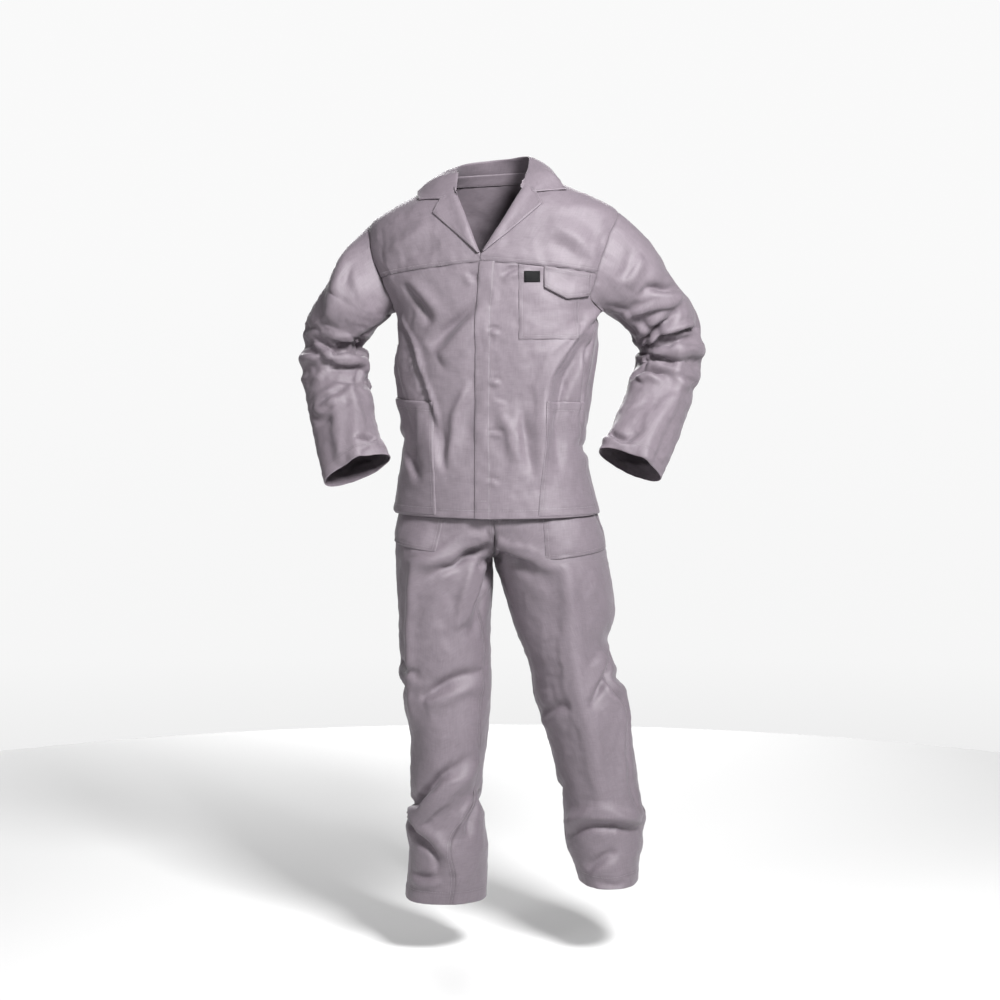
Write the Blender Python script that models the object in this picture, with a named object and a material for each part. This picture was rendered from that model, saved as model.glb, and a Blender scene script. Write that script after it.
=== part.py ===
"""Two-piece work suit, jacket and trousers, as hollow cloth walls in the pose it is worn in.

Metres, +Z up.  The front faces -Y, and the wearer's left hand side is +X.  Heights in the tables
are above the wearer's soles, and the origin is the middle of the shoulders, where the jacket hangs.
"""
import math
from collections import namedtuple

import bmesh
import bpy
from mathutils import Vector

# ---------------------------------------------------------------- driving dimensions
HOLD_HEIGHT = 1.500        # the shoulder mount, above the wearer's soles
CLOTH = 0.0020             # wall of a single piece
DOUBLE = 0.0024            # wall of a doubled piece: collar, placket, waistband
PATCH = 0.0014             # wall of a patch pocket
SEAM = 0.0003              # gap between two pieces at a seam
LAID = 0.0005              # gap under a piece that lies on a panel
FACING = math.radians(13)  # how far the body is turned to the wearer's right
ROUND = 0.92               # below 1 a ring is squarer than an ellipse

ARMPIT = 1.270             # height of the side seam's top
SHOULDER = 1.457           # height of the sleeve's top
NECK = 1.536               # height of the neck seam
CROTCH = 0.790             # height where the legs part
RISE = 0.885               # height where the centre seam starts to run under
WAISTBAND_BOTTOM = 1.036
WAISTBAND_TOP = 1.078
FLY_TURN = 6.0             # turn of the trousers' centre seam, in degrees
PLACKET_WIDTH = 0.030      # from the left front's edge to the stitch line
UNDERLAP = 0.0031          # how far the right front runs below the left one
ARM_STEPS = 9              # rows of cells from armpit to shoulder point

Ring = namedtuple("Ring", "height half_width front back middle_x middle_y roll")

JACKET_RINGS = [
    Ring(0.850, 0.2085, 0.148, 0.154, 0.011, 0.000, 0.000),
    Ring(0.940, 0.1915, 0.144, 0.148, 0.006, 0.000, 0.000),
    Ring(1.000, 0.1820, 0.138, 0.132, 0.004, 0.000, 0.000),
    Ring(1.060, 0.1840, 0.134, 0.123, 0.004, 0.000, 0.000),
    Ring(1.120, 0.1910, 0.133, 0.120, 0.001, 0.000, 0.000),
    Ring(1.174, 0.1980, 0.135, 0.123, 0.002, 0.000, 0.000),
    Ring(1.220, 0.1980, 0.136, 0.127, 0.010, 0.000, 0.000),
    Ring(1.270, 0.2050, 0.135, 0.130, 0.012, 0.002, 0.005),
    Ring(1.320, 0.2310, 0.132, 0.131, 0.007, 0.004, 0.010),
    Ring(1.370, 0.2520, 0.128, 0.130, 0.004, 0.007, 0.016),
    Ring(1.415, 0.2560, 0.120, 0.124, 0.004, 0.010, 0.024),
    Ring(1.457, 0.2440, 0.106, 0.110, 0.004, 0.014, 0.030),
    Ring(1.485, 0.1990, 0.092, 0.096, 0.004, 0.017, 0.033),
    Ring(1.512, 0.1380, 0.075, 0.082, 0.004, 0.021, 0.035),
    Ring(1.536, 0.0900, 0.058, 0.069, 0.004, 0.025, 0.036),
    Ring(1.556, 0.0740, 0.050, 0.064, 0.004, 0.028, 0.036),
]

TROUSER_RINGS = [
    Ring(0.780, 0.2080, 0.136, 0.146, 0.016, 0.000, 0.000),
    Ring(0.840, 0.2030, 0.137, 0.145, 0.012, 0.000, 0.000),
    Ring(0.900, 0.1910, 0.132, 0.139, 0.008, 0.000, 0.000),
    Ring(0.950, 0.1825, 0.129, 0.133, 0.005, 0.000, 0.000),
    Ring(1.000, 0.1755, 0.123, 0.122, 0.004, 0.000, 0.000),
    Ring(1.040, 0.1715, 0.117, 0.113, 0.004, 0.000, 0.000),
    Ring(1.080, 0.1695, 0.114, 0.109, 0.004, 0.000, 0.000),
]

# Seams across the jacket, as places where a line passes: height, and x or turn.
Mark = namedtuple("Mark", "height place")

# Turn of the armhole from the centre front, in front and behind, in degrees.
ARMHOLE_FRONT = [Mark(ARMPIT, 84), Mark(1.290, 67), Mark(1.320, 64), Mark(1.360, 63),
                 Mark(1.400, 67), Mark(1.430, 75), Mark(SHOULDER, 90)]
ARMHOLE_BACK = [Mark(ARMPIT, 84), Mark(1.290, 98), Mark(1.320, 110), Mark(1.360, 116),
                Mark(1.400, 113), Mark(1.430, 105), Mark(SHOULDER, 90)]
SIDE_SEAM = 84.0           # turn of the side seams below the armpits
# x of the edges at the centre front: the roll lines of the lapels, then the closing.
RIGHT_EDGE = [Mark(0.850, 0.004), Mark(1.330, 0.004), Mark(1.365, -0.008), Mark(1.378, -0.021),
              Mark(1.435, -0.043), Mark(1.492, -0.065), Mark(1.512, -0.074), Mark(1.536, -0.086)]
LEFT_EDGE = [Mark(0.850, -0.033), Mark(1.135, -0.032), Mark(1.260, -0.030), Mark(1.304, -0.027),
             Mark(1.365, -0.023), Mark(1.378, -0.021), Mark(1.435, 0.014), Mark(1.500, 0.055),
             Mark(1.518, 0.068), Mark(1.536, 0.083)]

# Heights of the rows of a front: at its side or armhole edge, and at its centre edge.
Row = namedtuple("Row", "side centre")
HEM_ROW = Row(0.877, 0.873)
SEAM_ROW = Row(1.338, 1.365)       # the yoke seam
YOKE_TOP_ROW = Row(1.536, 1.536)
SHOULDER_STEPS = 5

Section = namedtuple("Section", "x y height across deep tilt")

# Down each sleeve from the upper arm to the cuff.  tilt is the fall from the outer side to the
# inner side, in degrees.
RIGHT_SLEEVE = [
    Section(-0.260, 0.050, 1.298, 0.068, 0.076, 30),
    Section(-0.299, 0.068, 1.252, 0.065, 0.072, 20),
    Section(-0.316, 0.078, 1.203, 0.061, 0.066, 6),
    Section(-0.312, 0.066, 1.146, 0.066, 0.058, 4),
    Section(-0.300, 0.032, 1.078, 0.067, 0.050, 3),
    Section(-0.287, -0.004, 1.028, 0.065, 0.045, -2),
    Section(-0.272, -0.036, 0.988, 0.066, 0.041, -14),
    Section(-0.262, -0.056, 0.962, 0.068, 0.034, -23),
]
LEFT_SLEEVE = [
    Section(0.283, 0.004, 1.310, 0.072, 0.074, 35),
    Section(0.337, 0.030, 1.254, 0.067, 0.072, 23),
    Section(0.352, 0.048, 1.204, 0.065, 0.066, 9),
    Section(0.344, 0.040, 1.145, 0.067, 0.058, 1),
    Section(0.319, 0.004, 1.076, 0.067, 0.050, -8),
    Section(0.292, -0.040, 1.018, 0.067, 0.044, -14),
    Section(0.266, -0.074, 0.975, 0.067, 0.034, -26),
]
SLEEVE_STEPS = 13
ARMHOLE_PUFF = 0.010       # how far a sleeve swells off the body just past its seam

Leg = namedtuple("Leg", "height inner outer front back")

RIGHT_LEG = [
    Leg(0.095, -0.015, -0.175, -0.082, 0.086),
    Leg(0.160, -0.011, -0.169, -0.090, 0.088),
    Leg(0.210, -0.008, -0.165, -0.094, 0.088),
    Leg(0.254, -0.014, -0.171, -0.096, 0.088),
    Leg(0.300, -0.022, -0.157, -0.098, 0.086),
    Leg(0.350, -0.018, -0.162, -0.101, 0.083),
    Leg(0.440, -0.008, -0.162, -0.108, 0.080),
    Leg(0.510, -0.003, -0.176, -0.112, 0.082),
    Leg(0.580, -0.002, -0.180, -0.112, 0.090),
    Leg(0.660, -0.003, -0.185, -0.114, 0.102),
    Leg(0.730, 0.003, -0.189, -0.124, 0.120),
    Leg(CROTCH, 0.001, -0.190, -0.130, 0.138),
]
LEFT_LEG = [
    Leg(0.118, 0.183, 0.289, -0.112, 0.092),
    Leg(0.180, 0.162, 0.292, -0.112, 0.094),
    Leg(0.220, 0.147, 0.301, -0.110, 0.093),
    Leg(0.280, 0.143, 0.301, -0.108, 0.090),
    Leg(0.345, 0.133, 0.289, -0.108, 0.086),
    Leg(0.440, 0.107, 0.277, -0.112, 0.082),
    Leg(0.510, 0.085, 0.270, -0.114, 0.084),
    Leg(0.564, 0.076, 0.250, -0.114, 0.090),
    Leg(0.620, 0.058, 0.228, -0.114, 0.096),
    Leg(0.674, 0.039, 0.243, -0.116, 0.104),
    Leg(0.730, 0.021, 0.239, -0.124, 0.120),
    Leg(CROTCH, 0.001, 0.226, -0.130, 0.138),
]
RIGHT_HEM = 0.109
LEFT_HEM = 0.147
LEG_STEPS_BELOW = 14
RISE_HEIGHTS = [0.796, 0.806, 0.822, 0.845, RISE, 0.935, 0.985, WAISTBAND_BOTTOM]
LEG_COLUMNS = 7
HIP_EASE = 1.55            # how the columns of a leg crowd towards the centre seam at the hips

# The largest folds, each a soft ridge (out > 0) or trough (out < 0) between two places.  A place
# on the body is a turn in degrees and a height.  On a sleeve it is a turn and a share of its length.
Fold = namedtuple("Fold", "turn_a along_a turn_b along_b width out")

BODY_FOLDS = [
    Fold(-78, 1.250, -42, 0.970, 0.020, -0.0060),
    Fold(-66, 1.230, -30, 0.960, 0.030, 0.0040),
    Fold(62, 1.240, 34, 1.100, 0.024, -0.0060),
    Fold(74, 1.180, 46, 1.060, 0.022, 0.0050),
    Fold(150, 1.260, 172, 0.950, 0.030, 0.0050),
    Fold(-146, 1.260, -168, 0.950, 0.030, 0.0050),
    Fold(128, 1.020, 232, 1.020, 0.030, -0.0060),
]
SLEEVE_FOLDS = [
    Fold(20, 0.36, 150, 0.40, 0.030, -0.0080),
    Fold(10, 0.45, 160, 0.46, 0.024, 0.0070),
    Fold(30, 0.53, 165, 0.52, 0.026, -0.0080),
    Fold(60, 0.62, 160, 0.58, 0.026, 0.0050),
]
# Round a leg the turn runs from the inseam over the front (90) to the side seam (180).
LEG_FOLDS = {
    -1: [Fold(30, 0.375, 130, 0.310, 0.036, 0.0060),
         Fold(40, 0.320, 120, 0.255, 0.034, -0.0050),
         Fold(60, 0.530, 160, 0.545, 0.036, -0.0040)],
    1: [Fold(50, 0.205, 150, 0.245, 0.036, -0.0060),
        Fold(50, 0.260, 150, 0.300, 0.036, 0.0040),
        Fold(120, 0.560, 180, 0.540, 0.036, -0.0050)]}
LEG_GIRTH = 0.52
SLEEVE_GIRTH = 0.42
SLEEVE_LENGTH = 0.56       # for the width of folds along a sleeve

# ---------------------------------------------------------------- colours
GREY_CLOTH = (0.335, 0.305, 0.335, 1.0)
LABEL_BLACK = (0.020, 0.020, 0.022, 1.0)


# ---------------------------------------------------------------- small helpers
def lerp(a, b, share):
    return a + (b - a) * share


def eased(stations, values, at):
    """A smooth curve through rising stations, straight on beyond its ends."""
    if at <= stations[0]:
        return values[0]
    if at >= stations[-1]:
        return values[-1]
    k = max(i for i in range(len(stations) - 1) if stations[i] <= at)
    span = stations[k + 1] - stations[k]
    share = (at - stations[k]) / span

    def slope(i):
        low, high = max(i - 1, 0), min(i + 1, len(stations) - 1)
        return (values[high] - values[low]) / (stations[high] - stations[low])

    square, cube = share * share, share ** 3
    return ((2 * cube - 3 * square + 1) * values[k] + (cube - 2 * square + share) * span * slope(k)
            + (3 * square - 2 * cube) * values[k + 1] + (cube - square) * span * slope(k + 1))


def column(rows, name, at, station="height"):
    """One named column of a table, read at a station between its rows."""
    stations = [getattr(row, station) for row in rows]
    return eased(stations, [getattr(row, name) for row in rows], at)


def halved(low, high, is_below):
    """Where is_below turns from true to false, by halving."""
    for _ in range(26):
        middle = (low + high) / 2
        if is_below(middle):
            low = middle
        else:
            high = middle
    return (low + high) / 2


def bulge(value):
    """A sine or cosine, squared off a little towards a rounded rectangle."""
    return math.copysign(abs(value) ** ROUND, value)


def fold_out(folds, turn, along, girth, length=1.0):
    """How far the folds push the cloth out at a place, with soft ends."""
    out = 0.0
    for fold in folds:
        start = Vector((fold.turn_a * girth / 360, fold.along_a * length))
        run = Vector((fold.turn_b * girth / 360, fold.along_b * length)) - start
        place = Vector((turn * girth / 360, along * length)) - start
        share = place.dot(run) / run.length_squared
        clear = (place - run * min(max(share, 0.0), 1.0)).length
        out += fold.out * math.exp(-(clear / fold.width) ** 2)
    return out


# ---------------------------------------------------------------- the body's surface
def ring_point(rings, turn, height, out=0.0):
    """A point of the body's surface.  turn is 0 at the centre front, +90 at the left side."""
    angle = math.radians(turn)
    side = (column(rings, "half_width", height) + out) * bulge(math.sin(angle))
    depth = column(rings, "front" if math.cos(angle) > 0 else "back", height) + out
    ahead = depth * bulge(math.cos(angle))
    return Vector((
        column(rings, "middle_x", height) + side * math.cos(FACING) - ahead * math.sin(FACING),
        column(rings, "middle_y", height) - side * math.sin(FACING) - ahead * math.cos(FACING),
        height + column(rings, "roll", height) * side))


def jacket_point(turn, height):
    turn = (turn + 180) % 360 - 180
    out = fold_out(BODY_FOLDS, turn, height, 1.0)
    out += fold_out(BODY_FOLDS, turn + 360, height, 1.0)
    fade = min(max((ARMPIT + 0.02 - height) / 0.04, 0.0), 1.0)
    return ring_point(JACKET_RINGS, turn, height, out * fade)


def normal_at(point, turn, height):
    """Outward normal of a surface point(turn, height)."""
    across = point(turn + 1.5, height) - point(turn - 1.5, height)
    up = point(turn, height + 0.004) - point(turn, height - 0.004)
    return across.cross(up).normalized()


def turn_at(x, height):
    """The turn in front at which the jacket passes a given x."""
    return halved(-80.0, 80.0, lambda turn: jacket_point(turn, height).x < x)


def mark(marks, height):
    return column(marks, "place", height)


# ---------------------------------------------------------------- sheets of cloth
class Sheet:
    """A grid of points with outward normals, from which walls are made."""

    def __init__(self, points, normals, closed=False):
        self.points = points
        self.normals = normals
        self.closed = closed


def mesh_object(name, vertices, faces, colour, parent):
    """A closed mesh object with its own material."""
    work = bmesh.new()
    made = [work.verts.new(point) for point in vertices]
    for face in faces:
        work.faces.new([made[i] for i in face])
    bmesh.ops.recalc_face_normals(work, faces=work.faces)
    mesh = bpy.data.meshes.new(name)
    work.to_mesh(mesh)
    work.free()
    mesh.shade_smooth()
    mesh.set_sharp_from_angle(angle=math.radians(40))
    finish = bpy.data.materials.new(name)
    finish.use_nodes = True
    shader = finish.node_tree.nodes["Principled BSDF"]
    shader.inputs["Base Color"].default_value = colour
    shader.inputs["Roughness"].default_value = 0.75
    shader.inputs["Metallic"].default_value = 0.0
    mesh.materials.append(finish)
    made_object = bpy.data.objects.new(name, mesh)
    bpy.context.collection.objects.link(made_object)
    made_object.parent = parent
    return made_object


def grid_triangles(rows, spans):
    """The triangles of a grid, each as three (row, column) corners."""
    triangles = []
    for i in range(rows - 1):
        for j in range(spans):
            triangles.append(((i, j), (i, j + 1), (i + 1, j + 1)))
            triangles.append(((i, j), (i + 1, j + 1), (i + 1, j)))
    return triangles


def wall(name, sheet, parent, thick=CLOTH, lift=0.0, colour=GREY_CLOTH):
    """A cloth wall: the sheet's grid is its outer face, moved out by lift + thick when it is laid.

    Edges that meet another piece are drawn in by half a seam's gap.
    """
    rows, cols = len(sheet.points), len(sheet.points[0])
    top = lift + thick if lift else 0.0
    drawn = [[point.copy() for point in line] for line in sheet.points]

    def draw_in(i, j, k, m):
        step = sheet.points[k][m] - sheet.points[i][j]
        if step.length > 0.002:
            drawn[i][j] += step.normalized() * (SEAM / 2)

    for j in range(cols):
        draw_in(0, j, 1, j)
        draw_in(rows - 1, j, rows - 2, j)
    if not sheet.closed:
        for i in range(rows):
            draw_in(i, 0, i, 1)
            draw_in(i, cols - 1, i, cols - 2)

    vertices = []
    for depth in (top, top - thick):
        for i in range(rows):
            for j in range(cols):
                vertices.append(drawn[i][j] + sheet.normals[i][j] * depth)
    layer = rows * cols

    def index(i, j, inner):
        return inner * layer + i * cols + j % cols

    faces = []
    spans = cols if sheet.closed else cols - 1
    for inner in (0, 1):
        faces += [tuple(index(i, j, inner) for i, j in corners)
                  for corners in grid_triangles(rows, spans)]
    for j in range(spans):
        for i in (0, rows - 1):
            faces.append((index(i, j, 0), index(i, j + 1, 0), index(i, j + 1, 1), index(i, j, 1)))
    if not sheet.closed:
        for i in range(rows - 1):
            for j in (0, cols - 1):
                faces.append((index(i, j, 0), index(i + 1, j, 0),
                              index(i + 1, j, 1), index(i, j, 1)))
    return mesh_object(name, vertices, faces, colour, parent)


def patch(name, sheet, outline, parent, thick, lift, colour=GREY_CLOTH):
    """A piece sewn flat on a sheet: the sheet's own faces, cut to an outline and moved out.

    The outline is convex: Spots, anticlockwise as seen from the front.
    """
    work = bmesh.new()
    rows, cols = len(sheet.points), len(sheet.points[0])
    made = [[work.verts.new(point) for point in line] for line in sheet.points]
    for corners in grid_triangles(rows, cols - 1):
        work.faces.new([made[i][j] for i, j in corners])
    work.faces.ensure_lookup_table()
    work.normal_update()
    if work.faces[0].normal.dot(sheet.normals[0][0]) < 0:
        bmesh.ops.reverse_faces(work, faces=work.faces)
    for start, stop in zip(outline, outline[1:] + outline[:1]):
        place = Vector((start.x, 0.0, start.height - HOLD_HEIGHT))
        outward = Vector((stop.height - start.height, 0.0, start.x - stop.x))
        bmesh.ops.bisect_plane(work, geom=work.verts[:] + work.edges[:] + work.faces[:],
                               dist=1e-6, plane_co=place, plane_no=outward, clear_outer=True)
    bmesh.ops.triangulate(work, faces=work.faces)
    work.normal_update()
    flat = list(work.verts)
    number = {vertex: k for k, vertex in enumerate(flat)}
    vertices = [v.co + v.normal * depth for depth in (lift + thick, lift) for v in flat]
    count = len(flat)
    faces = []
    for face in work.faces:
        corners = [number[vertex] for vertex in face.verts]
        faces.append(corners)
        faces.append([k + count for k in reversed(corners)])
    for edge in work.edges:
        if edge.is_boundary:
            a, b = (number[vertex] for vertex in edge.verts)
            faces.append([a, b, b + count, a + count])
    work.free()
    return mesh_object(name, vertices, faces, colour, parent)


def evenly(first, last, steps):
    return [lerp(first, last, i / steps) for i in range(steps + 1)]


# ---------------------------------------------------------------- jacket
ARM_HEIGHTS = evenly(ARMPIT, SHOULDER, ARM_STEPS)
SEAM_STEP = 3              # the yoke seam meets the armhole at this station
ARM_HEIGHTS[SEAM_STEP] = SEAM_ROW.side
SHOULDER_HEIGHTS = evenly(SHOULDER, NECK, SHOULDER_STEPS)
BODY_STEPS = 9
SIDE_HEIGHTS = evenly(HEM_ROW.side, ARMPIT, BODY_STEPS)


def lowered(point):
    return point - Vector((0, 0, HOLD_HEIGHT))


def armhole_loop(side):
    """Stations round an armhole: over the front from the shoulder to the armpit, and back up."""
    front = [(side * mark(ARMHOLE_FRONT, h), h) for h in reversed(ARM_HEIGHTS)]
    back = [(side * mark(ARMHOLE_BACK, h), h) for h in ARM_HEIGHTS[1:-1]]
    return front + back


def sleeve_sheet(side, sections):
    """The tube of a sleeve, each of its lines a smooth curve from the armhole to the cuff."""
    loop = armhole_loop(side)
    count = len(loop)
    starts = [jacket_point(*place) for place in loop]
    lines = []
    for k in range(count):
        turn = 360.0 * k / count
        line = [starts[k]]
        for n, section in enumerate(sections):
            after = sections[min(n + 1, len(sections) - 1)]
            before = sections[max(n - 1, 0)]
            run = Vector((after.x - before.x, after.y - before.y, after.height - before.height))
            tilt = math.radians(section.tilt)
            outer = Vector((side * math.cos(tilt), 0.0, math.sin(tilt)))
            ahead = run.normalized().cross(outer).normalized()
            if ahead.y > 0:
                ahead = -ahead
            reach = outer * (section.across * math.cos(math.radians(turn)))
            reach += ahead * (section.deep * math.sin(math.radians(turn)))
            line.append(Vector((section.x, section.y, section.height)) + reach)
        lines.append(line)
    stations = [0.0] + [1.0 + n for n in range(len(sections))]
    away = [normal_at(jacket_point, *place) for place in loop]
    points = []
    for i in range(SLEEVE_STEPS + 1):
        at = stations[-1] * i / SLEEVE_STEPS
        puff = ARMHOLE_PUFF * 4 * at * (1 - at) if at < 1 else 0.0
        ring = [Vector([eased(stations, [p[axis] for p in line], at) for axis in range(3)])
                + away[k] * puff for k, line in enumerate(lines)]
        middle = sum(ring, Vector()) / count
        ring = [p + (p - middle).normalized()
                * fold_out(SLEEVE_FOLDS, 360.0 * k / count, i / SLEEVE_STEPS, SLEEVE_GIRTH,
                           SLEEVE_LENGTH)
                for k, p in enumerate(ring)]
        points.append([lowered(p) for p in ring])
    for k in range(count):
        points[0][k] = lowered(starts[k])
    return Sheet(points, grid_normals(points, closed=True), closed=True)


def grid_normals(points, closed=False, flip=False):
    """Outward normals of a tube or a sheet, from its own grid."""
    rows, cols = len(points), len(points[0])
    normals = []
    for i in range(rows):
        line = []
        for j in range(cols):
            if closed:
                across = points[i][(j + 1) % cols] - points[i][j - 1]
            else:
                across = points[i][min(j + 1, cols - 1)] - points[i][max(j - 1, 0)]
            along = points[min(i + 1, rows - 1)][j] - points[max(i - 1, 0)][j]
            line.append(across.cross(along).normalized())
        normals.append(line)
    if closed:
        middle = sum(points[rows // 2], Vector()) / cols
        flip = normals[rows // 2][0].dot(points[rows // 2][0] - middle) < 0
    if flip:
        normals = [[-normal for normal in line] for line in normals]
    return normals


def mitres(side, sleeve):
    """Where a sleeve meets the body, both walls lean along the line between their normals."""
    leans = {}
    for k, (turn, height) in enumerate(armhole_loop(side)):
        body = normal_at(jacket_point, turn, height)
        lean = (body + sleeve.normals[0][k]).normalized()
        sleeve.normals[0][k] = lean
        leans[round(turn, 3), round(height, 4)] = lean
    return leans


def body_sheet(stations, leans, under=False):
    """A sheet on the jacket from rows of (turn, height) stations."""
    points, normals = [], []
    for stations_row in stations:
        line, lean = [], []
        for turn, height in stations_row:
            normal = normal_at(jacket_point, turn, height)
            point = jacket_point(turn, height)
            if under:
                edge = mark(LEFT_EDGE, height) - 0.006
                share = min(max((point.x - edge + 0.022) / 0.022, 0.0), 1.0)
                point = point - normal * (UNDERLAP * share)
            line.append(lowered(point))
            lean.append(leans.get((round(turn, 3), round(height, 4)), normal))
        points.append(line)
        normals.append(lean)
    return Sheet(points, normals)


def edge_turn(side, height, arm_marks):
    """Turn of a panel's outer edge: side seam, armhole, and then the shoulder seam."""
    if height < ARMPIT - 1e-6:
        return side * SIDE_SEAM
    if height < SHOULDER - 1e-6:
        return side * mark(arm_marks, height)
    return side * 90.0


def front_rows(side, pairs, cols, inset=None):
    """Stations of a front: each row from its centre edge to its outer edge.

    inset gives the first column a width of its own.
    """
    centre_marks = LEFT_EDGE if side > 0 else RIGHT_EDGE
    rows = []
    for pair in pairs:
        edge_x = mark(centre_marks, pair.centre)
        centre = turn_at(edge_x, pair.centre)
        outer = edge_turn(side, pair.side, ARMHOLE_FRONT)
        turns = [lerp(centre, outer, j / cols) for j in range(cols)] + [outer]
        if inset:
            second = turn_at(edge_x + inset, pair.centre)
            turns = [centre] + [lerp(second, outer, j / (cols - 1)) for j in range(cols - 1)]
            turns.append(outer)
        shares = [(turn - centre) / (outer - centre) for turn in turns]
        rows.append([(turn, lerp(pair.centre, pair.side, share))
                     for turn, share in zip(turns, shares)])
    return rows


def front_pairs():
    """Row heights of a front, from the hem to the yoke seam."""
    sides = SIDE_HEIGHTS + ARM_HEIGHTS[1:SEAM_STEP + 1]
    low, high = sides[0], sides[-1]
    return [Row(h, lerp(HEM_ROW.centre, SEAM_ROW.centre, (h - low) / (high - low))) for h in sides]


def yoke_pairs():
    """Row heights of a yoke, from the yoke seam to the neck."""
    sides = ARM_HEIGHTS[SEAM_STEP:] + SHOULDER_HEIGHTS[1:]
    count = len(sides) - 1
    return [Row(h, lerp(SEAM_ROW.centre, YOKE_TOP_ROW.centre, i / count))
            for i, h in enumerate(sides)]


def back_rows(cols):
    heights = SIDE_HEIGHTS + ARM_HEIGHTS[1:] + SHOULDER_HEIGHTS[1:]
    rows = []
    for height in heights:
        left = edge_turn(1, height, ARMHOLE_BACK)
        right = 360.0 + edge_turn(-1, height, ARMHOLE_BACK)
        rows.append([(lerp(left, right, j / cols), height) for j in range(cols + 1)])
    return rows


def wrap_leans(leans):
    """The same mitres, keyed as the back's turns run, from 0 to 360."""
    return {(round(turn % 360, 3), height): lean for (turn, height), lean in leans.items()}


def build_jacket(parent):
    sleeves = {side: sleeve_sheet(side, sections)
               for side, sections in ((-1, RIGHT_SLEEVE), (1, LEFT_SLEEVE))}
    leans = {}
    for side, sleeve in sleeves.items():
        leans.update(mitres(side, sleeve))
    wall("right_sleeve", sleeves[-1], parent)
    wall("left_sleeve", sleeves[1], parent)
    wall("jacket_back", body_sheet(back_rows(11), wrap_leans(leans)), parent)

    right = body_sheet(front_rows(-1, front_pairs(), 8), leans, under=True)
    left = body_sheet(front_rows(1, front_pairs(), 8, inset=PLACKET_WIDTH), leans)
    right_yoke = body_sheet(front_rows(-1, yoke_pairs(), 7), leans, under=True)
    left_yoke = body_sheet(front_rows(1, yoke_pairs(), 7), leans)
    wall("jacket_right_front", right, parent)
    wall("jacket_left_front", left, parent)
    wall("right_yoke", right_yoke, parent)
    wall("left_yoke", left_yoke, parent)
    build_on_fronts(parent, right, left)
    build_lapels(parent)
    build_collar(parent)


# ---------------------------------------------------------------- what is sewn on the jacket
# Outlines as seen from the front, anticlockwise.  A corner past a panel's edge ends at the edge.
Spot = namedtuple("Spot", "x height")
CHEST_POCKET = [Spot(0.051, 1.214), Spot(0.161, 1.218), Spot(0.170, 1.3410), Spot(0.050, 1.3580)]
POCKET_FLAP = [Spot(0.099, 1.313), Spot(0.141, 1.292), Spot(0.185, 1.298), Spot(0.190, 1.3380),
               Spot(0.099, 1.3530)]
LABEL = [Spot(0.062, 1.323), Spot(0.092, 1.323), Spot(0.092, 1.344), Spot(0.062, 1.344)]
LEFT_LOWER_POCKET = [Spot(0.088, 0.8785), Spot(0.300, 0.8785), Spot(0.300, 1.095),
                     Spot(0.104, 1.097)]
RIGHT_LOWER_POCKET = [Spot(-0.300, 0.8785), Spot(-0.107, 0.8785), Spot(-0.113, 1.096),
                      Spot(-0.300, 1.112)]
PLACKET_COLUMNS = 2        # the placket covers the left front's first columns


def build_on_fronts(parent, right, left):
    placket = Sheet([line[:PLACKET_COLUMNS] for line in left.points],
                    [line[:PLACKET_COLUMNS] for line in left.normals])
    wall("front_placket", placket, parent, thick=DOUBLE, lift=LAID)
    over_patch = LAID + PATCH + LAID
    patch("chest_pocket", left, CHEST_POCKET, parent, PATCH, LAID)
    patch("chest_pocket_flap", left, POCKET_FLAP, parent, DOUBLE, over_patch)
    patch("label", left, LABEL, parent, 0.0010, over_patch, LABEL_BLACK)
    patch("left_lower_pocket", left, LEFT_LOWER_POCKET, parent, PATCH, LAID)
    patch("right_lower_pocket", right, RIGHT_LOWER_POCKET, parent, PATCH, LAID)


# A lapel's outer edge, from the closing up to its point, and from there to its notch.
Lapel = namedtuple("Lapel", "foot point notch gorge_height lift")
RIGHT_LAPEL = Lapel(Mark(1.380, -0.026), Mark(1.462, -0.115), Mark(1.4855, -0.100), 1.491, 0.0012)
LEFT_LAPEL = Lapel(Mark(1.382, -0.014), Mark(1.470, 0.097), Mark(1.4905, 0.086), 1.499, 0.0012)
LAPEL_STEPS = 7
LAPEL_POINT_SHARE = 0.72   # how far up the roll line the lapel's point stands


def yoke_place(side, x, height):
    """Point and normal of a yoke at a given x and height."""
    turn = turn_at(x, height)
    return lowered(jacket_point(turn, height)), normal_at(jacket_point, turn, height)


def build_lapels(parent):
    """Each lapel lies on its yoke, from the roll line to its outer edge."""
    for side, lapel, roll, name in ((-1, RIGHT_LAPEL, RIGHT_EDGE, "right_lapel"),
                                    (1, LEFT_LAPEL, LEFT_EDGE, "left_lapel")):
        points, normals = [], []
        for i in range(LAPEL_STEPS + 1):
            share = i / LAPEL_STEPS
            roll_height = lerp(lapel.foot.height + 0.001, lapel.gorge_height, share)
            roll_x = mark(roll, roll_height) + side * 0.0015
            if share < LAPEL_POINT_SHARE:
                part, start, stop = share / LAPEL_POINT_SHARE, lapel.foot, lapel.point
            else:
                part = (share - LAPEL_POINT_SHARE) / (1 - LAPEL_POINT_SHARE)
                start, stop = lapel.point, lapel.notch
            outer_x = lerp(start.place, stop.place, part)
            outer_height = lerp(start.height, stop.height, part)
            places = [yoke_place(side, lerp(roll_x, outer_x, j / 3),
                                 lerp(roll_height, outer_height, j / 3)) for j in range(4)]
            points.append([point for point, normal in places])
            normals.append([normal for point, normal in places])
        wall(name, Sheet(points, normals), parent, thick=DOUBLE, lift=lapel.lift)


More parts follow.
